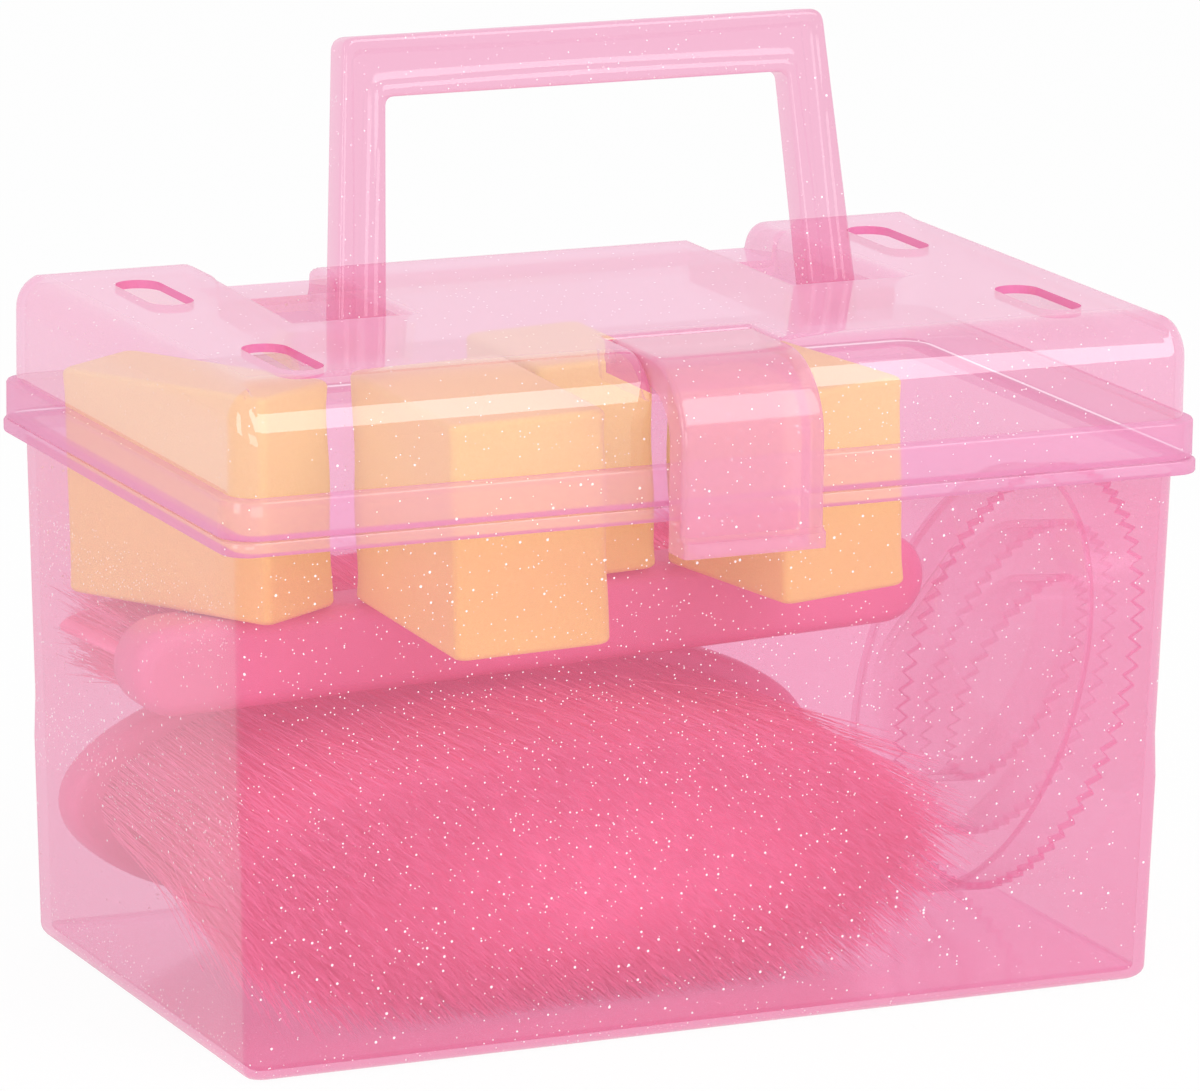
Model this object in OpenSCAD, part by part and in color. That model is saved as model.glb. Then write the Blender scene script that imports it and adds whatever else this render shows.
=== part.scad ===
// Grooming box for a horse owner: a see-through moulded tub and lid with a folding
// carry handle and a front clasp, holding sponges, two brushes and a curry comb.
// Millimetres, +Z up, +Y to the back, origin at the middle of the tub's underside.

/* [Tub] */
// Width of the tub just under its rim
tub_w = 234; // [214:1:260]
// Depth of the tub just under its rim
tub_d = 140; // [126:1:160]
// Height of the tub with its rim
tub_h = 126.4; // [118:0.2:150]
// How much each side draws in from the rim to the underside
tub_draft = 2.8; // [1:0.1:5]
// Wall thickness of the tub and the lid
wall = 2; // [1.6:0.1:2.6]
// Radius of the upright corners
corner_r = 5; // [4:0.5:8]
// Radius of the tub's bottom edge
bottom_r = 3.5; // [2:0.5:5]
// How far the rim stands out from the tub
rim_out = 4.4; // [3.8:0.2:5.2]
// Thickness of the rim
rim_t = 3.4; // [2.6:0.2:5]
// Radius of the rim's and the lid's corners
rim_corner_r = 6; // [5:0.5:9]

/* [Lid] */
// Height of the lid from its parting line to its top
lid_h = 33.4; // [31:0.2:40]
// How far the lid stands out over the tub, inside the rim
lid_out = 2; // [1:0.2:2.6]
// Height of the skirt band round the lid
skirt_h = 9; // [7:0.5:11]
// Radius of the rounded edge along the lid's front and ends
lid_edge_r = 8.5; // [7:0.5:10]
// Radius of the edge along the lid's back
lid_back_r = 3.5; // [3:0.5:5]
// Width of the raised panel between the handle's legs
panel_w = 99; // [94:1:101]
// Depth of the channels that the handle's legs fold into
channel_depth = 10.6; // [10.4:0.1:11.6]
// Depth of the shallower ledge that the grip folds onto
ledge_depth = 6.8; // [6.6:0.1:8]
// Half width of the leg channels at the pivots
channel_x = 75.6; // [74:0.2:79]
// How much the leg channels narrow towards the back
channel_taper = 3.4; // [2:0.2:5]
// How much wider the leg channels are than the ledge where they meet
channel_step = 0.7; // [0.4:0.1:1.2]
// Width of the slots in the lid's shoulders
slot_w = 11; // [7:0.5:13]
// Length of the slots in the lid's shoulders
slot_l = 31; // [20:0.5:36]
// Distance of the slots' centres from the middle, sideways
slot_x = 95; // [92:0.5:98]
// Distance of the slots' centres from the middle, front and back
slot_y = 39.5; // [34:0.5:42]

/* [Handle] */
// Length of the handle from its pivots to the top of the grip
handle_l = 69.2; // [64:0.2:70]
// Width across the handle at the top
handle_top_w = 122; // [116:1:126]
// Width across the handle at the pivots
handle_foot_w = 133; // [128:1:136]
// Width of each leg at the top
leg_top_w = 10; // [8:0.5:11]
// Width of each leg at the pivots
leg_foot_w = 12.4; // [10:0.2:13]
// Height of the grip bar
grip_h = 14.2; // [11:0.2:15]
// Thickness of the handle, front to back
handle_t = 8.4; // [7.4:0.2:8.6]
// Width of the raised border along the handle's faces
handle_border = 2.6; // [2:0.1:3.2]
// Depth of the sunk strip in the handle's faces
handle_sunk = 1.8; // [1:0.1:2.6]
// Radius of the handle's pivot stubs
stub_r = 2.6; // [2:0.1:3]
// How far the handle leans back as it stands
handle_lean = 9; // [5:1:14]
// Distance of the handle's pivots behind the middle
handle_y = 1; // [-1:0.2:2]

/* [Clasp] */
// Width of the clasp
clasp_w = 35.4; // [32:0.2:40]
// Thickness of the clasp's skin
clasp_t = 2.4; // [1.8:0.1:3]
// Depth of the clasp's side cheeks
cheek_depth = 7; // [6:0.2:7.2]
// Radius of the bend over the front edge
clasp_bend_r = 18.5; // [16:0.5:20]
// Distance of the clasp's pivot from the front of the lid
clasp_back = 21; // [19:0.5:24]
// Distance of the clasp's bend behind the tub's front
clasp_bend_set = 2; // [1:0.25:4]
// Radius of the clasp's hinge barrel
barrel_r = 3.9; // [3.4:0.1:4.2]
// Radius of the clasp's hinge pins
clasp_pin_r = 1.6; // [1.2:0.1:1.9]
// How far the clasp reaches below the parting line
clasp_drop = 9.4; // [8:0.2:12]
// How far the finger lip stands out
finger_lip = 1.8; // [1:0.2:2.6]
// Width of the catch on the tub's rim
catch_w = 28; // [22:0.5:28.5]
// How far the catch stands out from the rim
catch_out = 6.4; // [4:0.2:7]
// Height of the catch
catch_h = 6; // [4:0.2:7]

/* [Rear hinge] */
// Distance of each hinge from the middle
hinge_x = 65; // [50:1:85]
// Width of each lid knuckle
knuckle_w = 20; // [12:1:30]
// Radius of the hinge rods
rod_r = 2.4; // [1.8:0.1:2.8]
// Outer radius of the knuckles and ears
knuckle_r = 4.4; // [4:0.1:4.8]
// Thickness of the ears that carry the rods
ear_t = 3; // [2:0.2:5]
// Distance of the hinge line behind the rim
hinge_back = 5.2; // [5:0.1:7]
// How far the knuckles open for the rods, as a share of their radius
knuckle_open = 0.4; // [0.3:0.05:0.5]

/* [Fits] */
// Radial running clearance of the hinge rods, pins and stubs
run_gap = 0.05; // [0.03:0.01:0.08]
// Gap between pieces that lie on or beside each other
rest_gap = 0.3; // [0.2:0.05:0.4]
// Side gap of the clasp and the knuckles
side_gap = 0.5; // [0.3:0.1:0.8]

/* [Dandy brush] */
// Room that the dandy brush leaves along the tub
dandy_room = 30; // [28:1:54]
// Height of the dandy brush's back as it lies on its side
dandy_w = 22; // [20:0.5:24]
// Thickness of the dandy brush's back
dandy_t = 16; // [12:0.5:18]
// How far the front edge of the dandy brush's back is drawn in
dandy_edge = 3.6; // [2:0.2:5]
// How far the brush is tipped up at its right end
dandy_tilt = 2; // [1:0.5:3]
// Distance of the brush's left end from the tub's wall
dandy_end_gap = 2.75; // [1.5:0.25:5]
// Length of the dandy brush's bristles
dandy_bristle_l = 40; // [36:0.5:42]
// How far the dandy brush settles onto the body brush through its bristles
dandy_settle = 0.6; // [0.4:0.1:0.8]
// Bare margin round the dandy brush's bristles
dandy_margin = 3; // [2:0.25:4]
// How much the dandy brush's ranks of tufts shorten to its ends
dandy_narrow = 0.3; // [0.2:0.05:0.4]

/* [Body brush] */
// Room that the body brush leaves along the tub
body_room = 40; // [36:1:58]
// Width of the body brush's oval back
body_w = 66; // [60:0.5:67]
// Thickness of the body brush's back
body_t = 17; // [12:0.5:18]
// Height of the draw-in on the hair side of the body brush's back
body_edge = 5.6; // [4:0.2:5.8]
// How much smaller the oval is on the smooth side of the body brush's back
body_dome = 17; // [10:0.5:20]
// Length of the body brush's bristles
body_bristle_l = 84; // [72:0.5:86]
// Bare margin along the body brush's sides
body_margin = 5; // [4:0.25:7]
// Bare margin at the body brush's ends
body_end_margin = 9; // [8.5:0.5:12]
// How much the body brush's ranks of tufts shorten to its ends
body_narrow = 0.85; // [0.82:0.01:0.86]

/* [Bristles] */
// Tufts along the body brush
body_rows = 20; // [12:1:24]
// Tufts across the body brush
body_lines = 9; // [5:1:10]
// Tufts along the dandy brush
dandy_rows = 34; // [20:1:36]
// Tufts across the dandy brush
dandy_lines = 4; // [3:1:5]
// Half width of a tuft where it leaves the back
tuft_r = 0.9; // [0.6:0.05:1]
// Width of a tuft's tip as a share of its foot
tuft_tip = 0.55; // [0.4:0.05:0.8]
// Thickness of the pad that the tufts stand in
tuft_pad = 2; // [1:0.25:3]
// How much shorter the shortest tuft is, as a share of its length
tuft_short = 0.07; // [0:0.01:0.12]
// How far the body brush's tufts spread along it
body_splay = 1.02; // [1:0.01:1.03]
// How far the body brush's tufts spread across it
body_spread = 1.08; // [1:0.01:1.1]
// How far the dandy brush's tufts spread along it
dandy_splay = 1.03; // [1:0.01:1.04]

/* [Sponges] */
// Width of the left sponge as a share of the tub's width
left_sponge_share_w = 0.107; // [0.09:0.001:0.11]
// Depth of the left sponge as a share of the tub's width
left_sponge_share_d = 0.265; // [0.24:0.005:0.27]
// Gap from the left sponge up to the lid's underside
left_sponge_gap = 2.5; // [1:0.5:12]
// Turn of the left sponge
left_sponge_turn = 28; // [24:1:29]
// Distance of the left sponge's middle behind the dandy brush's front
left_sponge_back = 22.5; // [20:0.5:23]
// Width of the front sponge as a share of the tub's width
front_sponge_share = 0.163; // [0.15:0.001:0.19]
// Depth of the front sponge
front_sponge_d = 66; // [56:1:68]
// Gap from the front sponge up to the lid's underside
front_sponge_gap = 1.5; // [1:0.5:12]
// Turn of the front sponge
front_sponge_turn = -2; // [-4:1:0]
// Sideways place of the front sponge as a share of the tub's width
front_sponge_place = -0.16; // [-0.172:0.001:-0.157]
// Width of the right sponge as a share of the tub's width
right_sponge_share = 0.145; // [0.12:0.001:0.152]
// Depth of the right sponge
right_sponge_d = 52; // [44:1:54]
// Gap from the right sponge up to the lid's underside
right_sponge_gap = 6.5; // [6:0.5:16]
// Turn of the right sponge
right_sponge_turn = 8; // [4:1:10]
// Sideways place of the right sponge as a share of the tub's width
right_sponge_place = 0.186; // [0.184:0.001:0.195]
// Width of the rear sponge as a share of the tub's width
rear_sponge_share = 0.128; // [0.11:0.001:0.136]
// Depth of the rear sponge
rear_sponge_d = 44; // [36:1:50]
// Gap from the rear sponge up to the lid's underside
rear_sponge_gap = 4.5; // [2.5:0.5:14]
// Sideways place of the rear sponge as a share of the tub's width
rear_sponge_place = 0.019; // [0.014:0.001:0.025]
// How far the front and right sponges lie over the dandy brush
sponge_seat = 4; // [3:0.5:6]
// How far the rear sponge stands out before the dandy brush
sponge_lead = 3; // [1:0.5:5]
// Radius of the sponges' cut edges
sponge_edge_r = 2; // [1:0.5:4]

/* [Curry comb] */
// Length of the comb's oval plate
comb_l = 138; // [126:1:140]
// Width of the comb's oval plate
comb_w = 87; // [80:1:90]
// Thickness of the comb's plate
comb_plate_t = 2; // [1.5:0.25:3]
// Height of the toothed rings over the plate
comb_ring_h = 13.5; // [10:0.5:16]
// Wall thickness of the toothed rings
comb_ring_t = 1.8; // [1.2:0.1:2.6]
// Depth of the teeth
comb_tooth = 3; // [2:0.25:4]
// Spacing of the teeth along a ring
comb_pitch = 5; // [4:0.25:8]
// Distance from one ring in to the next
comb_ring_step = 14; // [12:0.5:15]
// Number of toothed rings
comb_rings = 3; // [2:1:3]
// How far the comb is turned to the front as it stands
comb_turn = 46; // [42:1:50]
// How far the comb leans against the right wall
comb_lean = 4; // [2:0.5:6]
// Distance of the comb from the front wall
comb_front_gap = 2.4; // [2:0.2:4]
// Width of the comb's hand strap
strap_w = 40; // [30:1:46]
// Thickness of the strap
strap_t = 1.8; // [1.2:0.1:2.5]
// How far the strap arches off the plate
strap_rise = 13; // [10:0.5:14]
// Length of the strap's feet on the plate
strap_foot = 7; // [5:0.5:9]
// Span of the strap's arch across the plate
strap_span = 55; // [50:0.5:56]

/* [Hidden] */
eps = 0.02;
bite = 1;
oval_step = 7.5;
comb_step = 5;
body_seed = 7;
dandy_seed = 11;
round_fn = 64;
hull_fn = 32;
corner_n = 8;
plastic = [0.95, 0.55, 0.75, 0.5];
foam = [1, 0.75, 0.4];
brush_pink = [0.85, 0.25, 0.5];
bristle_pink = [0.92, 0.35, 0.55];

// Tub sizes that follow from the driving ones
rim_w = tub_w + 2 * rim_out;
rim_d = tub_d + 2 * rim_out;
floor_z = wall;

// Lid heights
lid_z = tub_h + rest_gap;
lid_top = lid_z + lid_h;
channel_z = lid_top - channel_depth;
ledge_z = lid_top - ledge_depth;

// Handle pivot, a little over half the leg's thickness above the channel floor
pivot_z = channel_z + handle_t / 2 + rest_gap;
lid_w = tub_w + 2 * lid_out;
lid_d = tub_d + 2 * lid_out;
channel_front = handle_y - handle_t / 2 - 2 * rest_gap;
grip_inner = handle_l - grip_h;
panel_back = handle_y + grip_inner - side_gap;
ledge_y = panel_back + rest_gap;
stub_end = channel_x + wall - rest_gap;

// Clasp pivot and outline
clasp_y = -tub_d / 2 + clasp_back;
clasp_top = lid_top + eps;
clasp_z = clasp_top - barrel_r;
pocket_w = clasp_w + 2 * side_gap;
pocket_z = clasp_z - barrel_r - side_gap;
pocket_back = clasp_y + barrel_r + side_gap;
bend_y = -tub_d / 2 + clasp_bend_set;
clasp_front = bend_y - clasp_bend_r;
clasp_low = lid_z - clasp_drop;
catch_front = -rim_d / 2 - catch_out;

// Rear hinge line, on the parting plane
hinge_y = rim_d / 2 + hinge_back;
hinge_z = tub_h;

// Half width and half depth of the tub's outside at a height
function tub_half_w(z) = tub_w / 2 - tub_draft * (1 - z / (tub_h - rim_t));
function tub_half_d(z) = tub_d / 2 - tub_draft * (1 - z / (tub_h - rim_t));

// Body brush: it stands on its long edge against the back wall
body_l = tub_w - body_room;
body_z = floor_z + rest_gap + body_w / 2;
body_x = body_l / 2 - tub_half_w(body_z) + wall + rest_gap;
body_y = tub_half_d(floor_z) - wall - rest_gap - body_t;

// Dandy brush: it lies on its side over the body brush, its bristles to the back wall
dandy_rise = sqrt(pow(body_w / 2, 2) + pow(body_l / 2 * tan(dandy_tilt), 2));
dandy_z = body_z - body_x * tan(dandy_tilt) + dandy_rise + rest_gap - dandy_settle;
dandy_l = tub_w - dandy_room;
dandy_x = dandy_l / 2 - tub_half_w(dandy_z) + wall + dandy_end_gap;
dandy_tip_y = tub_half_d(dandy_z) - wall - rest_gap / 2;
dandy_face_y = dandy_tip_y - dandy_bristle_l - tuft_pad;
dandy_front_y = dandy_face_y - dandy_t;
dandy_field_w = dandy_w / 2 - dandy_margin;
dandy_spread = (dandy_w / 2 - tuft_tip * tuft_r) / (dandy_field_w * (1 - 1 / dandy_lines));
shelf_z = dandy_z + (dandy_w + rest_gap) / cos(dandy_tilt);

// Sponges: they stand on the dandy brush and end under the lid
sponge_room = channel_z - wall - shelf_z;
left_sponge_w = tub_w * left_sponge_share_w;
left_sponge_d = tub_w * left_sponge_share_d;
left_sponge_h = sponge_room - left_sponge_gap;
front_sponge_w = tub_w * front_sponge_share;
front_sponge_h = sponge_room - front_sponge_gap;
front_sponge_x = tub_w * front_sponge_place;
right_sponge_w = tub_w * right_sponge_share;
right_sponge_h = sponge_room - right_sponge_gap;
right_sponge_x = tub_w * right_sponge_place;
rear_sponge_w = tub_w * rear_sponge_share;
rear_sponge_h = sponge_room - rear_sponge_gap;
rear_sponge_x = tub_w * rear_sponge_place;

// Curry comb: it stands on the floor and leans with its teeth on the right wall
comb_a = comb_l / 2;
comb_b = comb_w / 2;
comb_t = comb_plate_t + comb_ring_h;
comb_reach_z = sqrt(pow(comb_a * cos(comb_turn), 2) + pow(comb_b * sin(comb_turn), 2));
comb_reach_y = sqrt(pow(comb_a * sin(comb_turn), 2) + pow(comb_b * cos(comb_turn), 2));
comb_z = floor_z + rest_gap + comb_reach_z * cos(comb_lean) + comb_t * sin(comb_lean);
comb_top = comb_z + comb_reach_z;
comb_y = comb_reach_y - tub_half_d(comb_z) + wall + comb_front_gap;
comb_x = tub_half_w(comb_top) - wall - rest_gap - comb_reach_z * sin(comb_lean) - comb_t * cos(comb_lean);

// How far the lid's back edge is drawn in at a drop below its top
function back_draw(drop, r) = drop >= r ? 0 : r - sqrt(r * r - pow(r - drop, 2));

// Flat rectangle with round corners
module rounded_rect(w, d, r) {
    square([w - 2 * r, d], center = true);
    square([w, d - 2 * r], center = true);
    for (sx = [-1, 1], sy = [-1, 1])
        translate([sx * (w / 2 - r), sy * (d / 2 - r)])
            circle(r);
}

// Points round a rectangle with round corners, at a place and height
function loop(w, d, r, y, z) =
    [for (k = [0 : 3], i = [0 : corner_n])
        let (a = 90 * (k + i / corner_n), sx = k == 0 || k == 3 ? 1 : -1, sy = k < 2 ? 1 : -1)
        [sx * (w / 2 - r) + r * cos(a), y + sy * (d / 2 - r) + r * sin(a), z]];

// Closed solid through loops of points, from the lowest to the highest
module loft(loops) {
    n = len(loops[0]);
    top = len(loops) - 1;
    sides = [for (j = [0 : top - 1], i = [0 : n - 1])
        let (a = j * n + i, b = j * n + (i + 1) % n)
        each [[a, a + n, b + n], [a, b + n, b]]];
    caps = [[for (i = [0 : n - 1]) i], [for (i = [n - 1 : -1 : 0]) top * n + i]];
    polyhedron([for (l = loops) each l], concat(sides, caps), convexity = 4);
}

// Drafted block of the tub, drawn in all round by an amount
module tub_block(inset, low, high, edge) {
    corner = max(corner_r - inset, 1);
    loft(concat(
        [for (a = [90, 60, 30, 0])
            let (z = low + edge * (1 - sin(a)), draw = inset + edge * (1 - cos(a)))
            loop(2 * (tub_half_w(z) - draw), 2 * (tub_half_d(z) - draw), corner, 0, z)],
        [loop(2 * (tub_half_w(high) - inset), 2 * (tub_half_d(high) - inset), corner, 0, high)]));
}

// Block of the lid with its rounded top edge, drawn in by an amount
module lid_block(inset, low, high) {
    edge = lid_edge_r - inset;
    back = lid_back_r - inset;
    corner = rim_corner_r - inset;
    w = lid_w - 2 * inset;
    d = lid_d - 2 * inset;
    loft(concat(
        [loop(w, d, corner, 0, low)],
        [for (a = [0, 18, 36, 54, 72, 90])
            let (drop = edge * (1 - sin(a)), side_in = edge * (1 - cos(a)), back_in = back_draw(drop, back))
            loop(w - 2 * side_in, d - side_in - back_in, corner, (side_in - back_in) / 2, high - drop)]));
}

// Channel round the raised panel that the folded handle lies in, wider by an amount
module handle_channel(grow) {
    back = lid_d / 2 + wall;
    wide = channel_x + grow;
    narrow = channel_x - channel_taper + grow;
    inner = panel_w / 2 - grow;
    for (side = [-1, 1])
        translate([0, 0, channel_z - grow])
            linear_extrude(channel_depth + grow + bite)
                polygon([[side * inner, channel_front - grow], [side * wide, channel_front - grow],
                         [side * (narrow + channel_step), ledge_y + grow], [side * inner, ledge_y + grow]]);
    translate([0, 0, ledge_z - grow])
        linear_extrude(ledge_depth + grow + bite)
            polygon([[-narrow, panel_back - grow], [narrow, panel_back - grow],
                     [narrow, back], [-narrow, back]]);
}

// Notch in the lid's front edge that the clasp lies in, wider by an amount
module clasp_pocket(grow) {
    half = pocket_w / 2 + grow;
    translate([-half, -tub_d / 2 - rim_out - bite, pocket_z - grow])
        cube([2 * half, pocket_back + grow + tub_d / 2 + rim_out + bite, lid_top - pocket_z + grow + bite]);
}

// Round bar along X between two places
module bar_x(x0, x1, y, z, r) {
    translate([x0, y, z])
        rotate([0, 90, 0])
            cylinder(h = x1 - x0, r = r, $fn = round_fn);
}

// Slot with round ends, long from front to back
module slot(x, y) {
    translate([x, y, channel_z]) {
        linear_extrude(channel_depth + bite)
            square([slot_w, slot_l - slot_w], center = true);
        for (end = [-1, 1])
            translate([0, end * (slot_l - slot_w) / 2, 0])
                cylinder(h = channel_depth + bite, r = slot_w / 2, $fn = round_fn);
    }
}

// One ear of the rear hinge: a plate from the rim to the hinge line
module hinge_ear(x) {
    translate([x, 0, 0])
        rotate([90, 0, 90])
            linear_extrude(ear_t) {
                translate([hinge_y, hinge_z])
                    circle(knuckle_r, $fn = round_fn);
                translate([rim_d / 2 - bite, hinge_z - knuckle_r])
                    square([hinge_back + bite, knuckle_r]);
            }
}

// One knuckle of the lid: an open ring round the rod, on an arm from the skirt
module hinge_knuckle(x) {
    bore_r = rod_r + run_gap;
    arm_z = lid_z + skirt_h / 2;
    translate([x - knuckle_w / 2, 0, 0])
        rotate([90, 0, 90])
            linear_extrude(knuckle_w)
                difference() {
                    union() {
                        translate([hinge_y, hinge_z])
                            circle(knuckle_r, $fn = round_fn);
                        translate([rim_d / 2 - wall / 2, hinge_z + rod_r])
                            square([hinge_back + wall / 2, knuckle_r - rod_r]);
                        translate([rim_d / 2 - wall / 2, hinge_z + rod_r])
                            square([wall, arm_z - hinge_z - rod_r]);
                    }
                    translate([hinge_y, hinge_z])
                        circle(bore_r, $fn = round_fn);
                    translate([hinge_y, hinge_z])
                        polygon([[0, 0], [2 * knuckle_r, -knuckle_open * knuckle_r], [2 * knuckle_r, -2 * knuckle_r],
                                 [-knuckle_open * knuckle_r, -2 * knuckle_r]]);
                }
}

module tub() {
    rod_half = knuckle_w / 2 + side_gap;
    color(plastic) {
        difference() {
            union() {
                tub_block(0, 0, tub_h, bottom_r);
                translate([0, 0, tub_h - rim_t])
                    linear_extrude(rim_t)
                        rounded_rect(rim_w, rim_d, rim_corner_r, $fn = round_fn);
                translate([-catch_w / 2, catch_front, tub_h - catch_h])
                    cube([catch_w, catch_out + rim_out, catch_h]);
                for (side = [-1, 1], end = [-1, 1])
                    hinge_ear(side * hinge_x + end * (rod_half + ear_t / 2) - ear_t / 2);
            }
            tub_block(wall, floor_z, tub_h + bite, max(bottom_r - wall, bite));
        }
        for (side = [-1, 1])
            bar_x(side * hinge_x - rod_half - eps, side * hinge_x + rod_half + eps, hinge_y, hinge_z, rod_r);
    }
}

module lid() {
    color(plastic) {
        difference() {
            union() {
                lid_block(0, lid_z, lid_top);
                translate([0, 0, lid_z])
                    linear_extrude(skirt_h)
                        rounded_rect(rim_w, rim_d, rim_corner_r, $fn = round_fn);
            }
            difference() {
                lid_block(wall, lid_z - bite, lid_top - wall);
                handle_channel(wall);
                clasp_pocket(wall);
            }
            handle_channel(0);
            clasp_pocket(0);
            for (sx = [-1, 1], sy = [-1, 1])
                slot(sx * slot_x, sy * slot_y);
            for (side = [-1, 1]) {
                bar_x(side > 0 ? panel_w / 2 + bite : -channel_x - wall - bite,
                      side > 0 ? channel_x + wall + bite : -panel_w / 2 - bite,
                      handle_y, pivot_z, stub_r + run_gap);
                bar_x(side * (pocket_w / 2 + wall / 2) - wall, side * (pocket_w / 2 + wall / 2) + wall,
                      clasp_y, clasp_z, clasp_pin_r + run_gap);
            }
        }
        for (side = [-1, 1])
            hinge_knuckle(side * hinge_x);
    }
}

// Outline of the handle in its own plane, pivots at height 0
module handle_outline(inset) {
    top = handle_top_w / 2 - inset;
    foot = handle_foot_w / 2 - inset;
    inner_top = handle_top_w / 2 - leg_top_w + inset;
    inner_foot = handle_foot_w / 2 - leg_foot_w + inset;
    low = inset > 0 ? handle_t / 2 + inset : 0;
    polygon([[-foot, low], [-top, handle_l - inset], [top, handle_l - inset], [foot, low],
             [inner_foot, low], [inner_top, grip_inner + inset], [-inner_top, grip_inner + inset],
             [-inner_foot, low]]);
}

module handle() {
    leg_in = handle_foot_w / 2 - leg_foot_w;
    color(plastic)
        translate([0, handle_y, pivot_z])
            rotate([-handle_lean, 0, 0]) {
                difference() {
                    rotate([90, 0, 0])
                        linear_extrude(handle_t, center = true)
                            handle_outline(0);
                    for (face = [-1, 1])
                        translate([0, face * (handle_t / 2 - handle_sunk / 2 + eps), 0])
                            rotate([90, 0, 0])
                                linear_extrude(handle_sunk + eps, center = true)
                                    handle_outline(handle_border);
                }
                for (side = [-1, 1]) {
                    bar_x(side > 0 ? leg_in : -handle_foot_w / 2, side > 0 ? handle_foot_w / 2 : -leg_in,
                          0, 0, handle_t / 2);
                    bar_x(side > 0 ? leg_in + bite : -stub_end, side > 0 ? stub_end : -leg_in - bite, 0, 0, stub_r);
                }
            }
}

// Side view of the clasp between two depths under its skin
module clasp_profile(from, to) {
    outer = clasp_bend_r - from;
    inner = clasp_bend_r - to;
    translate([bend_y, clasp_top - to])
        square([clasp_y - bend_y, to - from]);
    intersection() {
        difference() {
            translate([bend_y, clasp_top - clasp_bend_r])
                circle(outer, $fn = round_fn);
            translate([bend_y, clasp_top - clasp_bend_r])
                circle(inner, $fn = round_fn);
        }
        translate([clasp_front, clasp_top - clasp_bend_r])
            square(clasp_bend_r);
    }
    translate([clasp_front + from, clasp_low])
        square([to - from, clasp_top - clasp_bend_r - clasp_low]);
}

module clasp() {
    lip_h = clasp_t;
    lip_reach = catch_front - rest_gap - clasp_front;
    cheek_t = (clasp_w - catch_w) / 2 - 2 * side_gap;
    color(plastic) {
        rotate([90, 0, 90])
            linear_extrude(clasp_w, center = true) {
                clasp_profile(0, clasp_t);
                translate([clasp_front - finger_lip, clasp_low])
                    square([finger_lip + clasp_t, lip_h]);
            }
        translate([-catch_w / 2, clasp_front, clasp_low])
            cube([catch_w, lip_reach, lip_h]);
        for (side = [-1, 1])
            translate([side * (clasp_w - cheek_t) / 2, 0, 0])
                rotate([90, 0, 90])
                    linear_extrude(cheek_t, center = true)
                        clasp_profile(0, cheek_depth);
        bar_x(-clasp_w / 2, clasp_w / 2, clasp_y, clasp_z, barrel_r);
        bar_x(-pocket_w / 2 - wall + side_gap, pocket_w / 2 + wall - side_gap, clasp_y, clasp_z, clasp_pin_r);
    }
}

// Puts a piece in the tipped frame of the dandy brush, on the height of its top
module on_shelf(z) {
    translate([0, 0, z])
        rotate([0, -dandy_tilt, 0])
            children();
}

// Foam block standing on the shelf, turned about its own middle
module sponge(w, d, h, x, y, turn) {
    color(foam)
        on_shelf(shelf_z)
            translate([x, y, 0])
                rotate([0, 0, turn])
                    linear_extrude(h)
                        rounded_rect(w, d, sponge_edge_r, $fn = round_fn);
}

module sponge_left() {
    turn = left_sponge_turn;
    reach = left_sponge_w / 2 * cos(turn) + left_sponge_d / 2 * sin(turn);
    x = reach - tub_half_w(shelf_z) + wall + rest_gap + left_sponge_h * sin(dandy_tilt);
    sponge(left_sponge_w, left_sponge_d, left_sponge_h, x, dandy_front_y + left_sponge_back, turn);
}

module sponge_front() {
    y = dandy_front_y - front_sponge_d / 2 + sponge_seat;
    sponge(front_sponge_w, front_sponge_d, front_sponge_h, front_sponge_x, y, front_sponge_turn);
}

module sponge_right() {
    y = dandy_front_y - right_sponge_d / 2 + sponge_seat;
    sponge(right_sponge_w, right_sponge_d, right_sponge_h, right_sponge_x, y, right_sponge_turn);
}

module sponge_rear() {
    y = dandy_front_y - sponge_lead + rear_sponge_d / 2;
    sponge(rear_sponge_w, rear_sponge_d, rear_sponge_h, rear_sponge_x, y, 0);
}

// Place in a field of straight ranks that get shorter to its ends, for coordinates from -1 to 1
function field_point(u, v, half_l, half_w, narrow) =
    [u * half_l, v * half_w * sqrt(1 - narrow * u * u)];

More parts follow.
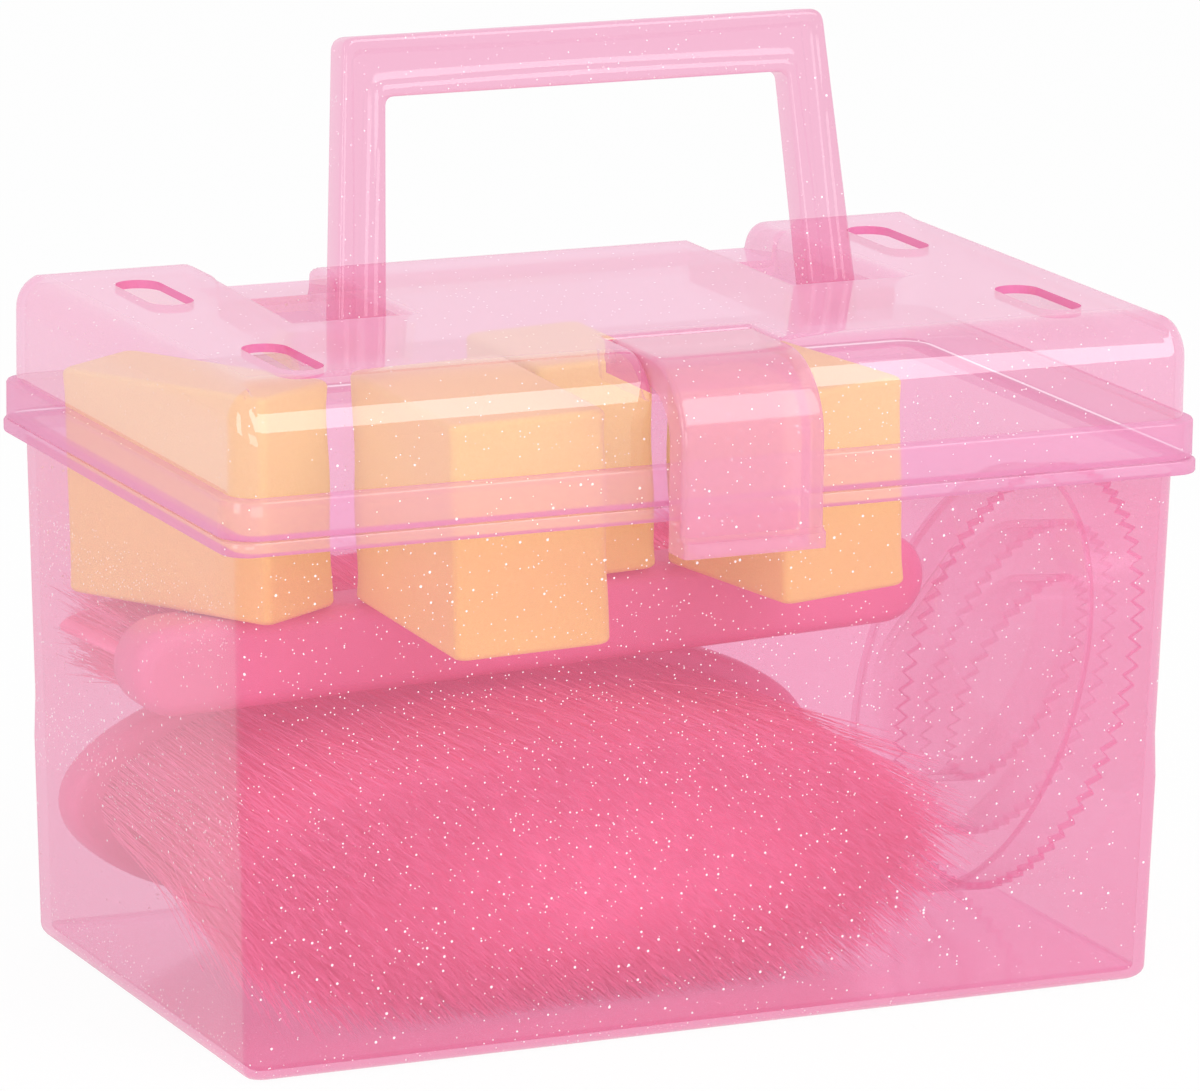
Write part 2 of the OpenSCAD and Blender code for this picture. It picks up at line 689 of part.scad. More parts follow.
// Tufts of bristles on one pad: each cell of a grid holds one four-sided strand
module bristle_field(half_l, half_w, length, rows, lines, narrow, splay_l, splay_w, seed) {
    cells = rows * lines;
    corners = (rows + 1) * (lines + 1);
    wander = rands(0, 1, cells, seed);
    sides = [[-1, -1], [1, -1], [1, 1], [-1, 1]];
    corner_points = [for (i = [0 : rows], j = [0 : lines])
        let (p = field_point(2 * i / rows - 1, 2 * j / lines - 1, half_l, half_w, narrow)) [p.x, p.y, 0]];
    strand_points = [for (i = [0 : rows - 1], j = [0 : lines - 1], k = [0 : 7])
        let (u = (2 * i + 1) / rows - 1, v = (2 * j + 1) / lines - 1,
             base = field_point(u, v, half_l, half_w, narrow),
             tip = k > 3,
             middle = tip ? [base.x * splay_l, base.y * splay_w] : base,
             r = tuft_r * (tip ? tuft_tip : 1),
             rise = tip ? length * (1 - tuft_short * wander[i * lines + j]) : 0)
        [middle.x + r * sides[k % 4].x, middle.y + r * sides[k % 4].y, rise]];
    rim = concat([for (i = [0 : rows - 1]) [i, 0]], [for (j = [0 : lines - 1]) [rows, j]],
                 [for (i = [rows : -1 : 1]) [i, lines]], [for (j = [lines : -1 : 1]) [0, j]]);
    rim_count = len(rim);
    pad_points = [for (c = rim) let (p = corner_points[c[0] * (lines + 1) + c[1]]) [p.x, p.y, -tuft_pad]];
    pad_start = corners + 8 * cells;
    middle_index = pad_start + rim_count;
    cell_faces = [for (i = [0 : rows - 1], j = [0 : lines - 1], k = [0 : 3])
        let (n = (k + 1) % 4,
             cell = [[i, j], [i + 1, j], [i + 1, j + 1], [i, j + 1]],
             a = cell[k][0] * (lines + 1) + cell[k][1],
             b = cell[n][0] * (lines + 1) + cell[n][1],
             s = corners + 8 * (i * lines + j))
        each [[a, b, s + n], [a, s + n, s + k],
              [s + k, s + n, s + 4 + n], [s + k, s + 4 + n, s + 4 + k]]];
    tip_faces = [for (cell = [0 : cells - 1])
        let (t = corners + 8 * cell + 4)
        each [[t, t + 1, t + 2], [t, t + 2, t + 3]]];
    pad_faces = [for (m = [0 : rim_count - 1])
        let (n = (m + 1) % rim_count,
             a = rim[m][0] * (lines + 1) + rim[m][1],
             b = rim[n][0] * (lines + 1) + rim[n][1],
             c = pad_start + m,
             d = pad_start + n)
        each [[c, d, b], [c, b, a], [middle_index, d, c]]];
    faces = concat(cell_faces, tip_faces, pad_faces);
    polyhedron(concat(corner_points, strand_points, pad_points, [[0, 0, -tuft_pad]]),
               [for (f = faces) [f[2], f[1], f[0]]], convexity = 10);
}

module dandy_brush_back() {
    end_r = dandy_w / 2;
    color(brush_pink)
        on_shelf(dandy_z)
            translate([dandy_x, dandy_face_y, dandy_w / 2])
                rotate([90, 0, 0])
                    hull()
                        for (x = [-1, 1]) {
                            translate([x * (dandy_l / 2 - end_r), 0, 0])
                                cylinder(h = dandy_t - dandy_edge, r = end_r, $fn = hull_fn);
                            translate([x * (dandy_l / 2 - end_r), 0, 0])
                                cylinder(h = dandy_t, r = end_r - dandy_edge, $fn = hull_fn);
                        }
}

module dandy_brush_bristles() {
    color(bristle_pink)
        on_shelf(dandy_z)
            translate([dandy_x, dandy_face_y + tuft_pad, dandy_w / 2])
                rotate([-90, 0, 0])
                    bristle_field(dandy_l / 2 - 2 * dandy_margin, dandy_field_w, dandy_bristle_l, dandy_rows,
                                  dandy_lines, dandy_narrow, dandy_splay, dandy_spread, dandy_seed);
}

// Puts a piece in the body brush's own frame, bristles to the front
module in_body_brush() {
    translate([body_x, body_y, body_z])
        rotate([90, 0, 0])
            children();
}

// Points round an oval at a height
function oval_loop(long, wide, z) =
    [for (a = [0 : oval_step : 360 - oval_step]) [long / 2 * cos(a), wide / 2 * sin(a), z]];

module body_brush_back() {
    color(brush_pink)
        in_body_brush()
            loft([oval_loop(body_l - body_dome, body_w - body_dome, -body_t),
                  oval_loop(body_l, body_w, -2 * body_edge),
                  oval_loop(body_l, body_w, -body_edge),
                  oval_loop(body_l - body_edge, body_w - body_edge, 0)]);
}

module body_brush_bristles() {
    color(bristle_pink)
        in_body_brush()
            translate([0, 0, tuft_pad])
                bristle_field(body_l / 2 - body_end_margin, body_w / 2 - body_margin, body_bristle_l, body_rows,
                              body_lines, body_narrow, body_splay, body_spread, body_seed);
}

// Puts a piece in the comb's own frame, teeth to the right
module in_comb() {
    translate([comb_x, comb_y, comb_z])
        rotate([0, comb_lean, 0])
            rotate([comb_turn, 0, 0])
                rotate([0, 90, 0])
                    children();
}

// Oval ring that stands on the plate, its edge cut in pointed teeth
module toothed_ring(a, b) {
    teeth = round(PI * (3 * (a + b) - sqrt((3 * a + b) * (a + 3 * b))) / comb_pitch);
    count = 2 * teeth;
    low = comb_plate_t - eps;
    high = comb_plate_t + comb_ring_h;
    points = [for (m = [0 : count - 1], wall_side = [0, 1], level = [0, 1])
        let (t = 360 * m / count,
             draw = wall_side * comb_ring_t,
             tip = high - (m % 2) * comb_tooth)
        [(a - draw) * cos(t), (b - draw) * sin(t), level == 0 ? low : tip]];
    faces = [for (m = [0 : count - 1])
        let (p = 4 * m, q = 4 * ((m + 1) % count))
        each [[p, q, q + 1], [p, q + 1, p + 1],
              [q + 2, p + 2, p + 3], [q + 2, p + 3, q + 3],
              [p + 1, q + 1, q + 3], [p + 1, q + 3, p + 3],
              [q, p, p + 2], [q, p + 2, q + 2]]];
    polyhedron(points, [for (f = faces) [f[2], f[1], f[0]]], convexity = 10);
}

module curry_comb() {
    color(plastic)
        in_comb() {
            linear_extrude(comb_plate_t)
                polygon([for (t = [0 : comb_step : 360 - comb_step]) [comb_a * cos(t), comb_b * sin(t)]]);
            for (ring = [0 : comb_rings - 1])
                toothed_ring(comb_a - eps - ring * comb_ring_step, comb_b - eps - ring * comb_ring_step);
        }
}

module curry_comb_strap() {
    half = strap_span / 2;
    arch_r = (half * half + strap_rise * strap_rise) / (2 * strap_rise);
    color(plastic)
        in_comb()
            rotate([0, 90, 0])
                linear_extrude(strap_w, center = true) {
                    difference() {
                        intersection() {
                            translate([strap_rise - arch_r, 0])
                                circle(arch_r, $fn = round_fn);
                            translate([0, -comb_b])
                                square([strap_rise + bite, 2 * comb_b]);
                        }
                        translate([strap_rise - arch_r, 0])
                            circle(arch_r - strap_t, $fn = round_fn);
                    }
                    for (side = [-1, 1])
                        translate([0, side > 0 ? half - 2 * strap_t : -half - strap_foot])
                            square([strap_t, strap_foot + 2 * strap_t]);
                }
}

tub();
lid();
handle();
clasp();
sponge_left();
sponge_front();
sponge_right();
sponge_rear();
dandy_brush_back();
dandy_brush_bristles();
body_brush_back();
body_brush_bristles();
curry_comb();
curry_comb_strap();
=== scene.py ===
# %% [markdown]
# # A see-through grooming box
# The real thing is a small carry box of pink clear plastic with glitter in it. A lid with a
# folding handle closes over sponges, two brushes and a clear curry comb. Places and sizes follow
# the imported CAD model, so this lesson only has to dress it: smoother surfaces, finer bristles and
# materials that behave like tinted plastic, foam and hair.

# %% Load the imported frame
import bpy
import bmesh
import numpy as np
from mathutils import Matrix


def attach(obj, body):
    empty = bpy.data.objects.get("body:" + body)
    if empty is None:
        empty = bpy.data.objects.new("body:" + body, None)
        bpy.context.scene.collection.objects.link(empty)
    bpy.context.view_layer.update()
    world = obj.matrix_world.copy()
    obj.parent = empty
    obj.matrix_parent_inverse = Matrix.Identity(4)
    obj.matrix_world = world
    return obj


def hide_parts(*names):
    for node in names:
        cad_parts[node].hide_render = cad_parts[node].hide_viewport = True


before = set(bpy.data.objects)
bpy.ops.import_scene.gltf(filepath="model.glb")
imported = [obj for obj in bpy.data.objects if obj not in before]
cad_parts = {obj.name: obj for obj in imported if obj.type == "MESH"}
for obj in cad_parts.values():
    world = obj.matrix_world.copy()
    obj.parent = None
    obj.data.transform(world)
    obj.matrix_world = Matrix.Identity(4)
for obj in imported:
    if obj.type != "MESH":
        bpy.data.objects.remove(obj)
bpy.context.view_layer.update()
MM = 0.001

# %% [markdown]
# ## The camera
# The photograph was taken with a long lens from the front left, a little above the lid. The
# numbers come from fitting straight edges of the box, so the picture's frame and the
# photograph's are the same. Columns of the camera's matrix are its right, up and back.

# %% Camera
eye = np.array([-0.76047, -1.67375, 0.52634])
yaw, pitch, roll = np.radians([24.48, 13.05, 0.70])
photo_width = 1200
focal_pixels = 8048.6
sensor_mm = 36.0
forward = np.array([np.sin(yaw) * np.cos(pitch), np.cos(yaw) * np.cos(pitch), -np.sin(pitch)])
level = np.cross(forward, [0.0, 0.0, 1.0])
level = level / np.linalg.norm(level)
rise = np.cross(level, forward)
cam_right = np.cos(roll) * level + np.sin(roll) * rise
cam_up = np.cos(roll) * rise - np.sin(roll) * level
camera_data = bpy.data.cameras.new("photo_camera")
camera_data.sensor_fit = "HORIZONTAL"
camera_data.sensor_width = sensor_mm
camera_data.lens = focal_pixels * sensor_mm / photo_width
camera = bpy.data.objects.new("photo_camera", camera_data)
pose = np.eye(4)
pose[:3, 0] = cam_right
pose[:3, 1] = cam_up
pose[:3, 2] = -forward
pose[:3, 3] = eye
camera.matrix_world = Matrix(pose.tolist())
bpy.context.scene.collection.objects.link(camera)
bpy.context.scene.camera = camera
print("lens", round(camera_data.lens, 1), "mm")

# %% [markdown]
# ## Writing shader sums as Python
# A material in Blender is a graph of nodes. Wiring each Math node by hand hides the idea, so a
# small class wraps a socket: adding or multiplying two wrapped sockets adds the Math node. A
# second class makes any other node from its type, its settings and its inputs.

# %% Shader helper
class Wire:
    """One output socket; arithmetic on it adds Math nodes to the same material."""

    def __init__(self, paint, socket):
        self.paint = paint
        self.socket = socket

    def math(self, operation, *values):
        """Add a Math node whose inputs are the values."""
        node = self.paint.node("ShaderNodeMath", {"operation": operation}, dict(enumerate(values)))
        return Wire(self.paint, node.outputs[0])

    def __add__(self, other):
        return self.math("ADD", self, other)

    __radd__ = __add__

    def __mul__(self, other):
        return self.math("MULTIPLY", self, other)

    __rmul__ = __mul__

    def __sub__(self, other):
        return self.math("SUBTRACT", self, other)

    def __rsub__(self, other):
        return self.math("SUBTRACT", other, self)

    def __pow__(self, other):
        return self.math("POWER", self, other)

    def __lt__(self, other):
        return self.math("LESS_THAN", self, other)


class Paint:
    """A material or a world under construction."""

    def __init__(self, owner):
        self.owner = owner
        owner.use_nodes = True
        self.tree = owner.node_tree
        self.tree.nodes.clear()

    def node(self, kind, settings=None, inputs=None):
        """Make a shader node: settings first, then the values or wires of its sockets."""
        made = self.tree.nodes.new(kind)
        for key, value in (settings or {}).items():
            setattr(made, key, value)
        for key, value in (inputs or {}).items():
            if isinstance(value, Wire):
                self.tree.links.new(value.socket, made.inputs[key])
            else:
                made.inputs[key].default_value = value
        return made

    def out(self, made, output):
        """One of the outputs of a node, wrapped."""
        return Wire(self, made.outputs[output])

    def wire(self, kind, settings=None, inputs=None, output=0):
        """Make a node and return one of its outputs."""
        return self.out(self.node(kind, settings, inputs), output)

    def mix_colour(self, share, first, second):
        """Blend of two colours; a share of 1 gives the second."""
        return self.wire("ShaderNodeMix", {"data_type": "RGBA"}, {0: share, 6: first, 7: second}, 2)

    def mix_shader(self, share, first, second):
        """Blend of two shaders; a share of 1 gives the second."""
        return self.wire("ShaderNodeMixShader", None, {0: share, 1: first, 2: second})

    def finish(self, surface, kind="ShaderNodeOutputMaterial"):
        """Wire a shader to the output node and return the material or world."""
        self.node(kind, None, {"Surface": surface})
        return self.owner


def colour(red, green, blue):
    """Opaque colour for a socket."""
    return (red, green, blue, 1.0)


def new_paint(name):
    """Empty material to build on."""
    return Paint(bpy.data.materials.new(name))


print("shader helper ready")

# %% [markdown]
# ## Clear plastic with glitter
# Tinted plastic does three things at once. It lets light through and colours it, it hazes a
# little, and it mirrors lamps on its skin. A Transparent shader gives the tint, a Principled
# shader the haze and the glitter, and a Glossy shader the mirror, mixed in by Fresnel. Glitter is
# a Voronoi pattern: a flake shows where the surface passes close to a cell's own point. Each
# wall is crossed twice, on its outer and its inner skin. The outer skin carries the whole tint and
# the inner one almost none, so that the thin edges of a wall look as deep as its middle.

# %% Plastic materials
def clear_plastic(name, tint, haze_colour, haze, edge_haze, flakes, rough, heart=(0.0, 0.06, 0.107, 0.08),
                  steep=4.0, ior=1.5, most=0.28):
    """Tinted clear plastic. haze is the share that scatters, flakes the share of glitter cells.
    Light on its way to the things inside is tinted less than the view out is. The flakes gather round
    the heart, given as x, z and their reaches in metres, where the melt flowed in."""
    paint = new_paint(name)
    place = paint.wire("ShaderNodeTexCoord", None, None, 3)
    facing = paint.wire("ShaderNodeLayerWeight", None, {"Blend": 0.5}, 1)
    body = haze + (facing ** steep) * edge_haze
    shade = colour(*haze_colour)
    if flakes:
        cells = paint.node("ShaderNodeTexVoronoi", None, {"Vector": place, "Scale": 430.0})
        dust = paint.node("ShaderNodeTexVoronoi", None, {"Vector": place, "Scale": 900.0})
        luck = paint.node("ShaderNodeSeparateColor", None, {0: paint.out(cells, "Color")})
        grain = paint.node("ShaderNodeSeparateColor", None, {0: paint.out(dust, "Color")})
        spot = paint.node("ShaderNodeSeparateXYZ", None, {0: place})
        away_x = (paint.out(spot, 0) - heart[0]) * (1.0 / heart[2])
        away_z = (paint.out(spot, 2) - heart[1]) * (1.0 / heart[3])
        away = away_x * away_x + away_z * away_z
        fall = away * -1.0
        flakes = flakes * (0.12 + 0.88 * fall.math("EXPONENT", fall))
        size = 0.045 + paint.out(luck, 1) * 0.10
        big = (paint.out(cells, "Distance") < size) * (paint.out(luck, 0) < flakes)
        near = paint.out(dust, "Distance") < 0.16
        fine = near * (paint.out(grain, 0) < flakes * 0.5)
        sparkle = big.math("MAXIMUM", big, fine)
        shade = paint.mix_colour(sparkle, shade, colour(1.0, 0.93, 0.96))
        body = body.math("MAXIMUM", body, sparkle * 0.85)
    seen = paint.wire("ShaderNodeBsdfTransparent", None, {0: colour(*tint)})
    lit = paint.wire("ShaderNodeBsdfTransparent", None, {0: colour(*(np.array(tint) ** 0.3))})
    path = paint.node("ShaderNodeLightPath")
    onward = paint.out(path, "Is Shadow Ray")
    onward = onward.math("MAXIMUM", onward, paint.out(path, "Is Diffuse Ray"))
    clear = paint.mix_shader(onward, seen, lit)
    body = body * (1.0 - onward * 0.5)
    cloudy = paint.wire("ShaderNodeBsdfPrincipled", None,
                        {"Base Color": shade, "Roughness": 0.45, "Specular IOR Level": 0.2})
    film = paint.mix_shader(body, clear, cloudy)
    mirror = paint.wire("ShaderNodeBsdfGlossy", None, {"Color": colour(1, 1, 1), "Roughness": rough})
    behind = paint.wire("ShaderNodeNewGeometry", None, None, "Backfacing")
    gloss = paint.wire("ShaderNodeFresnel", None, {"IOR": ior}) * (1.0 - behind)
    gloss = gloss.math("MINIMUM", gloss, most)
    return paint.finish(paint.mix_shader(gloss, film, mirror))


pink_tint = (0.914, 0.712, 0.832)
pink_haze = (0.98, 0.18, 0.37)
tub_plastic = clear_plastic("tub_plastic", pink_tint, pink_haze, 0.22, 0.30, 0.90, 0.05,
                            (-0.04, 0.072, 0.113, 0.085))
rim_plastic = clear_plastic("rim_plastic", (0.955, 0.68, 0.80), (0.80, 0.34, 0.56), 0.42, 0.40, 0.40, 0.06,
                            (0.0, 0.13, 0.093, 0.07), most=0.08)
lid_plastic = clear_plastic("lid_plastic", (0.965, 0.74, 0.845), (0.89, 0.45, 0.65), 0.20, 0.45, 0.55, 0.04,
                            (0.0, 0.140, 0.10, 0.016), steep=3.0, ior=1.7)
# Deeper pink plastic for the walls of the lid's slots and of the clasp's notch: it paints the shade that
# falls in them.
painted_shade_wall = clear_plastic("painted_shade_wall", (0.93, 0.45, 0.66), (0.80, 0.16, 0.42), 0.50, 0.30, 0, 0.08, most=0.08)
inner_skin = clear_plastic("inner_skin", (0.996, 0.985, 0.99), pink_haze, 0.01, 0.12, 0, 0.05)
# The floor's inner skin is tinted deeper than that of the walls: a painted pink shade over the whole tub
# floor.
shaded_floor_skin = clear_plastic("shaded_floor_skin", (0.97, 0.80, 0.90), pink_haze, 0.03, 0.20, 0, 0.12,
                           ior=2.4, most=0.6)
handle_plastic = clear_plastic("handle_plastic", (0.953, 0.705, 0.81), (0.88, 0.40, 0.60), 0.06, 0.35,
                               0.30, 0.08, (0.0, 0.2, 0.16, 0.12))
clasp_plastic = clear_plastic("clasp_plastic", (0.975, 0.86, 0.915), (0.82, 0.36, 0.50), 0.42, 0.36,
                              0.25, 0.08, (0.0, 0.14, 0.067, 0.05), ior=1.55)
comb_plastic = clear_plastic("comb_plastic", (0.999, 0.993, 0.996), (0.90, 0.24, 0.48), 0.002, 0.35, 0, 0.10,
                             steep=6.0, most=0.06)
comb_edge = clear_plastic("comb_edge", (0.965, 0.74, 0.85), (0.93, 0.32, 0.56), 0.36, 0.30, 0, 0.10,
                          most=0.15)
comb_wall = clear_plastic("comb_wall", (0.997, 0.98, 0.99), (0.92, 0.36, 0.58), 0.025, 0.35, 0, 0.10,
                          most=0.08)
comb_tip = clear_plastic("comb_tip", (0.985, 0.89, 0.94), (0.93, 0.40, 0.62), 0.18, 0.30, 0, 0.10, most=0.12)
print("plastic:", [m.name for m in bpy.data.materials])

# %% [markdown]
# ## Foam, brush backs and bristles
# Yellow foam is matt and full of fine cells, so a small Voronoi pattern bumps the surface and
# darkens the cells a touch. The brush backs are satin plastic. Bristles vary a little in
# colour from one to the next, which an attribute on each strand carries to the material.

# %% Soft and brush materials
def foam_material():
    """Matt yellow foam with fine cells and a soft sheen, whose pink tint is painted pink light from the
    plastic round it.
    """
    paint = new_paint("foam")
    place = paint.wire("ShaderNodeTexCoord", None, None, 3)
    cells = paint.wire("ShaderNodeTexVoronoi", None, {"Vector": place, "Scale": 1300.0})
    cloud = paint.wire("ShaderNodeTexNoise", None, {"Vector": place, "Scale": 45.0, "Detail": 4.0})
    shade = paint.mix_colour(cells * 0.9, colour(0.87, 0.80, 0.17), colour(0.91, 0.90, 0.23))
    shade = paint.mix_colour(cloud * 0.35, shade, colour(0.89, 0.86, 0.20))
    bump = paint.wire("ShaderNodeBump", None,
                      {"Strength": 0.15, "Distance": 0.0003, "Height": cells + cloud * 0.3})
    # The sheen at grazing angles is the foam's own; its pink tint paints the pink light that the box passes
    # on.
    return paint.finish(paint.wire("ShaderNodeBsdfPrincipled", None,
                                   {"Base Color": shade, "Roughness": 0.95, "Specular IOR Level": 0.1,
                                    "Sheen Weight": 0.35, "Sheen Roughness": 0.7,
                                    "Sheen Tint": colour(1.0, 0.78, 0.86), "Normal": bump}))


def back_material():
    """Satin pink plastic with a fine grain."""
    paint = new_paint("brush_back")
    place = paint.wire("ShaderNodeTexCoord", None, None, 3)
    cloud = paint.wire("ShaderNodeTexNoise", None, {"Vector": place, "Scale": 60.0, "Detail": 5.0})
    shade = paint.mix_colour(cloud * 0.5, colour(0.84, 0.25, 0.42), colour(0.87, 0.30, 0.47))
    grain = paint.wire("ShaderNodeTexNoise", None, {"Vector": place, "Scale": 2200.0, "Detail": 2.0})
    bump = paint.wire("ShaderNodeBump", None, {"Strength": 0.15, "Distance": 0.0002, "Height": grain})
    return paint.finish(paint.wire("ShaderNodeBsdfPrincipled", None,
                                   {"Base Color": shade, "Roughness": 0.32 + cloud * 0.12, "Normal": bump}))


def bristle_material():
    """Matt hair whose tone differs from one hair to the next. A faint glow stands for the light that
    the hairs pass on among themselves."""
    paint = new_paint("bristle")
    tone = paint.wire("ShaderNodeAttribute", {"attribute_name": "tone"}, None, 2)
    shade = paint.mix_colour(tone, colour(0.94, 0.29, 0.465), colour(0.965, 0.365, 0.545))
    return paint.finish(paint.wire("ShaderNodeBsdfPrincipled", None,
                                   {"Base Color": shade, "Roughness": 0.6, "Specular IOR Level": 0.2,
                                    "Emission Color": colour(1.0, 0.22, 0.38), "Emission Strength": 0.095}))


foam = foam_material()
brush_back = back_material()
bristle = bristle_material()
print("soft materials:", foam.name, brush_back.name, bristle.name)

# %% [markdown]
# ## From arrays to pieces
# Every surface below is a grid of points: rows go along the shape and columns go round it. One
# function turns a grid into faces, and another makes the object, merges the poles, turns the
# faces outwards, shades it smooth and fixes it to its body.

# %% Mesh helpers
def grid_faces(rows, columns, wrap=True):
    """Quads of a grid: each joins a point to the next in its row and in the next row."""
    last = columns if wrap else columns - 1
    i, j = np.meshgrid(np.arange(rows - 1), np.arange(last), indexing="ij")
    after = (j + 1) % columns
    here = i * columns
    below = here + columns
    return np.stack([here + j, here + after, below + after, below + j], axis=-1).reshape(-1, 4)


def make_piece(name, points, faces, material, body, replaces=(), smooth=38.0):
    """Mesh from points in millimetres; poles are merged and faces turned outwards."""
    mesh = bpy.data.meshes.new(name)
    corners = (np.asarray(points).reshape(-1, 3) * MM).tolist()
    mesh.from_pydata(corners, [], [list(map(int, face)) for face in faces])
    work = bmesh.new()
    work.from_mesh(mesh)
    bmesh.ops.remove_doubles(work, verts=work.verts, dist=1e-6)
    bmesh.ops.dissolve_degenerate(work, edges=work.edges, dist=1e-7)
    bmesh.ops.recalc_face_normals(work, faces=work.faces)
    work.to_mesh(mesh)
    work.free()
    mesh.shade_smooth()
    mesh.set_sharp_from_angle(angle=np.radians(smooth))
    mesh.materials.append(material)
    piece = bpy.data.objects.new(name, mesh)
    bpy.context.scene.collection.objects.link(piece)
    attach(piece, body)
    if replaces:
        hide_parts(*replaces)
    print(name, len(mesh.polygons), "faces")
    return piece


def rounded_loops(half_x, half_y, corner, height, shift=0.0, arc=8, side=8):
    """Rings of a rectangle with round corners, one ring for each entry of the arrays.
    Each quarter is an arc about a corner's centre followed by a straight run to the next corner."""
    given = [np.asarray(a, float) for a in (half_x, half_y, corner, height, shift)]
    half_x, half_y, corner, height, shift = np.broadcast_arrays(*given)
    quarter = np.arange(4)
    sign_x = np.array([1, -1, -1, 1])
    sign_y = np.array([1, 1, -1, -1])
    turn = np.linspace(0, np.pi / 2, arc + 1)
    angle = quarter[:, None] * np.pi / 2 + turn[None, :]
    x = sign_x[None, :, None] * (half_x - corner)[:, None, None] + corner[:, None, None] * np.cos(angle)
    y = sign_y[None, :, None] * (half_y - corner)[:, None, None] + corner[:, None, None] * np.sin(angle)
    share = np.linspace(0, 1, side + 2)[1:-1]
    next_x = np.roll(x[:, :, 0], -1, axis=1)
    next_y = np.roll(y[:, :, 0], -1, axis=1)
    run_x = x[:, :, -1:] + share * (next_x - x[:, :, -1])[:, :, None]
    run_y = y[:, :, -1:] + share * (next_y - y[:, :, -1])[:, :, None]
    ring_x = np.concatenate([x, run_x], axis=2).reshape(len(half_x), -1)
    ring_y = np.concatenate([y, run_y], axis=2).reshape(len(half_x), -1) + shift[:, None]
    return np.stack([ring_x, ring_y, np.broadcast_to(height[:, None], ring_x.shape)], axis=-1)


def closing(ring, shares):
    """Copies of a ring drawn in to the Z axis, one for each share: they close a stack of rings."""
    in_plan = np.array([1, 1, 0])
    return ring * in_plan * shares[:, None, None] + ring * (1 - in_plan)


def tube_x(start, end, y, z, radius, count=40, edge=0.4):
    """Round bar along X with softened ends: rings at each end and a pole at each middle."""
    x = np.array([start, start, start + edge, end - edge, end, end])
    r = np.array([0, radius - edge, radius, radius, radius - edge, 0])
    turn = np.linspace(0, 2 * np.pi, count, endpoint=False)
    points = np.stack([np.broadcast_to(x[:, None], (6, count)), y + r[:, None] * np.cos(turn),
                       z + r[:, None] * np.sin(turn)], axis=-1)
    return points, grid_faces(6, count)


def prism_x(outline, start, end, edge=0.4):
    """Solid with a fixed outline in the Y-Z plane, carried along X, its ends drawn in by an edge."""
    outline = np.asarray(outline, float)
    middle = outline.mean(axis=0)
    reach = np.linalg.norm(outline - middle, axis=1, keepdims=True)
    inner = middle + (outline - middle) * (1 - edge / reach)
    rings = np.stack([np.broadcast_to(middle, outline.shape), inner, outline, outline, inner,
                      np.broadcast_to(middle, outline.shape)])
    x = np.array([start, start, start + edge, end - edge, end, end])
    points = np.concatenate([np.broadcast_to(x[:, None, None], (6, len(outline), 1)), rings], axis=-1)
    return points, grid_faces(6, len(outline))


def joined(parts):
    """Several point and face sets as one."""
    points = []
    faces = []
    count = 0
    for p, f in parts:
        flat = np.asarray(p).reshape(-1, 3)
        points.append(flat)
        faces.extend((np.asarray(f) + count).tolist())
        count += len(flat)
    return np.concatenate(points), faces


print("mesh helpers ready")

# %% [markdown]
# ## The tub
# The tub is one skin that turns over its rim: up the outside, over the rim and down the inside
# to the floor. Each ring of it is a rounded rectangle, so the whole shape is a list of ring
# sizes. The walls lean out to the rim, as a moulding must to leave its mould.

# %% Tub
tub_half_x, tub_half_y = 117.0, 70.0
tub_draft, wall_top = 2.8, 123.0
wall, floor_z = 2.0, 2.0
tub_corner, rim_corner = 5.0, 6.0


def tub_draw(z):
    """How far the wall is drawn in at a height: nothing at the rim and all of the draft at the floor."""
    return tub_draft * (1 - z / wall_top)


arc7 = np.radians(np.linspace(90, 0, 7))
low_r, foot_r = 3.5, 1.5
low_z = low_r * (1 - np.sin(arc7))
low_in = low_r * (1 - np.cos(arc7)) + tub_draw(low_z)
side_z = np.linspace(8, 122.0, 12)
rim_in = [-0.1, -3.6, -4.2, -4.4, -4.4, -4.2, -3.8, 1.5, 1.9]
rim_z = [122.9, 123.0, 123.15, 123.6, 125.8, 126.25, 126.4, 126.4, 126.2]
inner_z = np.linspace(125.6, 5, 12)
foot_z = floor_z + foot_r * (1 - np.sin(arc7[::-1]))
foot_in = foot_r * (1 - np.cos(arc7[::-1])) + tub_draw(foot_z) + wall
ring_in = np.concatenate([low_in, tub_draw(side_z), rim_in, tub_draw(inner_z) + wall, foot_in])
ring_z = np.concatenate([low_z, side_z, rim_z, inner_z, foot_z])
ring_corner = np.where(ring_in > wall - 0.5, tub_corner - wall, tub_corner)
ring_corner = np.where(ring_in < -1, rim_corner, ring_corner)
shrink = np.array([0.0, 0.35, 0.7])
rings = rounded_loops(tub_half_x - ring_in, tub_half_y - ring_in, ring_corner, ring_z)
tub_points = np.concatenate([closing(rings[0], shrink), rings, closing(rings[-1], shrink[::-1])])
tub = make_piece("tub_shell", tub_points, grid_faces(len(tub_points), tub_points.shape[1]), tub_plastic,
                 "box", ["tub"])


def face_centres(mesh):
    """Middle of every face of a mesh, in millimetres."""
    centres = np.empty(3 * len(mesh.polygons))
    mesh.polygons.foreach_get("center", centres)
    return centres.reshape(-1, 3) / MM


for skin in (inner_skin, shaded_floor_skin, rim_plastic):
    tub.data.materials.append(skin)
centres = face_centres(tub.data)
way_in = tub_draw(centres[:, 2]) + 0.9 * wall
inner = ((np.abs(centres[:, 0]) < tub_half_x - way_in) & (np.abs(centres[:, 1]) < tub_half_y - way_in)
         & (centres[:, 2] > floor_z / 2))
floor_part = centres[:, 2] < floor_z + 2
rim_part = centres[:, 2] > wall_top - 0.2
skin_number = np.where(inner, np.where(floor_part, 2, 1), np.where(rim_part, 3, 0))
tub.data.polygons.foreach_set("material_index", skin_number.astype(np.int32))
print("inner faces", int(inner.sum()))

# %% [markdown]
# The catch for the clasp is a block on the rim's front. At the back, ears stand out from the rim
# and carry the two rods that the lid turns on. They are outlines carried sideways.

